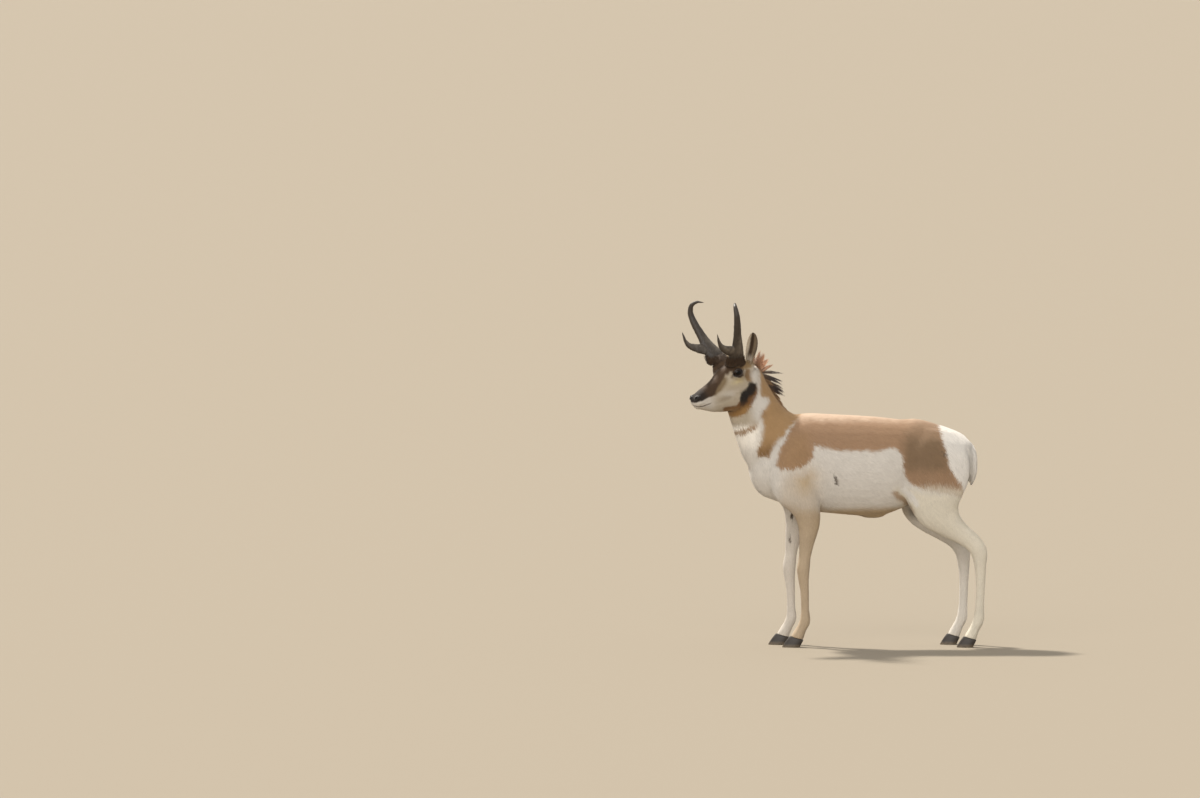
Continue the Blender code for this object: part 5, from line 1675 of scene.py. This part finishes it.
chance = np.random.default_rng(71)
paths, ways, spots = together(horn_collar(horn, node, chance) for node, horn in HORNS.items())
own = head_places(spots)
colours = painted(len(spots), MASK, [(FACE_TAN, ramp(0.230, 0.256, own[:, 1]) * 0.6)])
build_strands("horn_collars", paths, ways, np.full(len(spots), COLLAR_HAIR_WIDTH), colours, chance,
              moved_axis("head"), rounding=0.5, tint=0.12)

# %% [markdown]
# ## Eyes
# The eyes are large, set wide and high, and look almost black. Each is a fine ball with a dark
# brown iris and a level, oblong pupil under a clear wet coat. The lids are a leathery black rim,
# thicker above, that closes over the ball.

# %% Eye balls
PUPIL_LENGTH, PUPIL_HEIGHT = 0.0090, 0.0050


def eye_frame(side):
    look = on_side(side, EYE_LOOK).normalized()
    ahead = Vector((0, -1, -0.18))
    ahead = (ahead - look * ahead.dot(look)).normalized()
    turn = Matrix((ahead, look.cross(ahead) * side, look)).transposed().to_4x4()
    return HEAD @ Matrix.Translation(on_side(side, EYE_PLACE)) @ turn


def eye_material(side):
    made, tree, shader = new_material("wet_eye_" + ("left" if side > 0 else "right"), 0.25)
    fibre = grain_of(tree, object_place(tree), 900)
    iris = tree.nodes.new("ShaderNodeValToRGB")
    for stop, place, colour in zip(iris.color_ramp.elements, (0.35, 0.62),
                                   (paint(34, 23, 17), paint(5, 5, 5))):
        set_all(stop, {"position": place, "color": colour})
    feed(tree, iris, {"Fac": work_out(tree, "MULTIPLY_ADD", fibre, 0.16, attribute(tree, "pupil"))})
    feed(tree, shader, {"Base Color": iris.outputs["Color"], "Specular IOR Level": 0.0,
                        "Coat Weight": 0.75, "Coat IOR": 1.33, "Coat Roughness": 0.05})
    return made


for side, node in ((1, "eye_left"), (-1, "eye_right")):
    work = bmesh.new()
    bmesh.ops.create_uvsphere(work, u_segments=64, v_segments=40, radius=EYE_RADIUS)
    place = np.array([v.co for v in work.verts])
    bmesh.ops.transform(work, matrix=eye_frame(side), verts=work.verts)
    eye = object_from(node + "_ball", work)
    oblong = np.hypot(place[:, 0] / PUPIL_LENGTH, place[:, 1] / PUPIL_HEIGHT)
    set_value(eye.data, "pupil", np.where(place[:, 2] > 0, ramp(1.5, 0.7, oblong), 0))
    finish_surface(eye, eye_material(side))
    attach(eye, "root")
    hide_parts(node)
    print(eye.name, len(eye.data.polygons), "faces")

# %% [markdown]
# The lids are one closed ring: its cross-section runs from the edge that touches the ball, over
# the swell of the lid, out to where it sinks into the face, and back underneath. Only the edge is
# bare black leather. Further out the lid is furred with the face's shortest hair.

# %% Shape of the lids
LID_OPENING = (0.0176, 0.0104)
LID_STEPS = 72
# Degrees outward from the opening, height above the ball
LID_SECTION = ((0, -0.0004), (-1.5, 0.0008), (3, 0.0019), (9, 0.0024), (20, 0.0022), (34, 0.0010),
               (43, -0.0030), (14, -0.0035))
BARE_LID, FURRED_LID = 7.0, 11.0


def lid_opening(angle):
    """A point of the opening's rim, seen from in front of the eye."""
    across = math.cos(angle) * LID_OPENING[0]
    upward = math.sin(angle) * LID_OPENING[1] * (1 - 0.25 * abs(math.cos(angle)) ** 3)
    return across, upward


def lid_rings():
    rings = []
    for k in range(LID_STEPS):
        angle = 2 * math.pi * k / LID_STEPS
        x, y = lid_opening(angle)
        opening = math.asin(math.hypot(x, y) / EYE_RADIUS)
        turn = math.atan2(y, x)
        upper = max(0.0, math.sin(angle))
        ring = []
        for outward, lift in LID_SECTION:
            polar = opening + math.radians(outward * (1 + 0.2 * upper))
            reach = EYE_RADIUS + lift * (1 + 0.35 * upper if lift > 0 else 1)
            ring.append(Vector((math.sin(polar) * math.cos(turn), math.sin(polar) * math.sin(turn),
                                math.cos(polar))) * reach)
        rings.append(ring)
    return rings


def outward_of(places):
    """How many degrees beyond the opening's rim each point of a lid lies."""
    rim = np.array([lid_opening(angle) for angle in np.linspace(-math.pi, math.pi, 181)])
    turns = np.arctan2(rim[:, 1], rim[:, 0])
    rim_polar = np.arcsin(np.hypot(rim[:, 0], rim[:, 1]) / EYE_RADIUS)
    order = np.argsort(turns)
    own_turn = np.arctan2(places[:, 1], places[:, 0])
    polar = np.arctan2(np.hypot(places[:, 0], places[:, 1]), places[:, 2])
    return np.degrees(polar - np.interp(own_turn, turns[order], rim_polar[order]))

# %% Make and finish the lids
def leather_material():
    made, tree, shader = new_material("lid_leather", 0.5)
    wrinkle = grain_of(tree, object_place(tree), 900)
    leather = blend(tree, wrinkle, paint(22, 18, 16), paint(48, 39, 33))
    coat = attribute(tree, "coat_colour", "Color")
    feed(tree, shader, {"Base Color": blend(tree, attribute(tree, "furred"), leather, coat)})
    add_relief(tree, shader, wrinkle, 0.0005)
    return made


LEATHER = leather_material()


def make_lids(side, name):
    work = bridge_rings(bmesh.new(), lid_rings(), cyclic=True)
    bmesh.ops.transform(work, matrix=eye_frame(side), verts=work.verts)
    bmesh.ops.recalc_face_normals(work, faces=work.faces)
    lids = object_from(name, work)
    applied(with_modifier(lids, "SUBSURF", levels=1, render_levels=1))
    points = read_vectors(lids.data.vertices, "co")
    outward = outward_of(read_in(eye_frame(side), points))
    set_colour(lids.data, "coat_colour", paint_head(points))
    set_value(lids.data, "furred", ramp(BARE_LID, FURRED_LID, outward))
    finish_surface(lids, LEATHER)
    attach(lids, "root")
    print(lids.name, len(lids.data.polygons), "faces")
    return lids, outward


LIDS = [make_lids(side, name) for side, name in ((1, "eyelids_left"), (-1, "eyelids_right"))]

# %% [markdown]
# The hair of the lids is as short as that of the nose. It is grown like the rest of the coat, but
# over the lids' own surface.

# %% Hair of the lids
LID_HAIR = (0.0032, 0.0046)
LID_HAIR_DEPTH = 0.0006
LID_HAIR_SPACING = 0.0011
LID_HAIR_SLIMNESS = 0.13
# Only the lid's outer side faces away from the ball's middle by this much
OUTER_SIDE = 0.008


def lid_hair(lids, outward, side, chance):
    points, normals = surface_of(lids.data)
    faces = triangles_of(lids.data)
    middle = np.array(eye_frame(side).translation)
    outer = ((points - middle) * normals).sum(axis=1) > OUTER_SIDE
    furred = (outward[faces].min(axis=1) > BARE_LID) & outer[faces].all(axis=1)
    spots, ways = spread_roots(points, faces[furred], normals, LID_HAIR_SPACING, chance)
    tree = BVHTree.FromPolygons(points.tolist(), faces.tolist())
    lengths = chance.uniform(*LID_HAIR, len(spots))
    heights = np.full(len(spots), LID_HAIR_DEPTH)
    paths = lying_paths(spots, ways, hair_at(spots)[0], lengths, heights, chance, sink=0.0006,
                        over=tree)
    return paths, ways, lengths, paint_head(spots)


chance = np.random.default_rng(81)
paths, ways, lengths, colours = together(
    lid_hair(lids, outward, side, chance) for side, (lids, outward) in zip((1, -1), LIDS)
)
build_strands("lid_hair", paths, ways, lengths * LID_HAIR_SLIMNESS, colours, chance,
              moved_axis("head"), shadow=False)

# %% [markdown]
# ## Hooves
# Two pointed claws to each foot, black and slightly ringed by growth, scuffed paler at the edge
# that meets the ground. The copies of the solids get rounded edges and faint rings.

# %% Model and finish the hooves
HOOF_EDGE = 0.0022
FLAT_WITHIN, SHARP_OVER = math.radians(3), math.radians(40)
SCUFFED_UP_TO = 0.014


def hoof_material():
    made, tree, shader = new_material("hoof_wall", 0.5)
    place = object_place(tree)
    bands = add_node(tree, "ShaderNodeTexWave",
                     {"Vector": place, "Scale": 90, "Distortion": 3, "Detail": 3}, "Fac",
                     wave_type="BANDS", bands_direction="Z")
    height = add_node(tree, "ShaderNodeSeparateXYZ", {0: place}, "Z")
    edge = add_node(tree, "ShaderNodeMapRange",
                    {"Value": height, "From Min": SCUFFED_UP_TO, "From Max": 0.0})
    scuffed = work_out(tree, "MULTIPLY", edge, grain_of(tree, place, 120, 6))
    wall = blend(tree, bands, paint(38, 33, 30), paint(62, 54, 47))
    feed(tree, shader, {"Base Color": blend(tree, scuffed, wall, paint(142, 124, 98))})
    add_relief(tree, shader, bands, 0.0006, 0.3)
    return made


HOOF = hoof_material()
for node in sorted(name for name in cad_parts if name.startswith("hoof")):
    work = merged_copy(node)
    bmesh.ops.dissolve_limit(work, angle_limit=FLAT_WITHIN, verts=work.verts, edges=work.edges)
    sharp = [e for e in work.edges if e.calc_face_angle(0) > SHARP_OVER]
    bmesh.ops.bevel(work, geom=sharp, offset=HOOF_EDGE, segments=3, profile=0.5, affect="EDGES",
                    material=-1)
    bmesh.ops.triangulate(work, faces=work.faces)
    hoof = object_from(node + "_wall", work)
    finish_surface(hoof, HOOF)
    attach(hoof, "root")
    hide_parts(node)
    print(hoof.name, len(hoof.data.polygons), "faces")
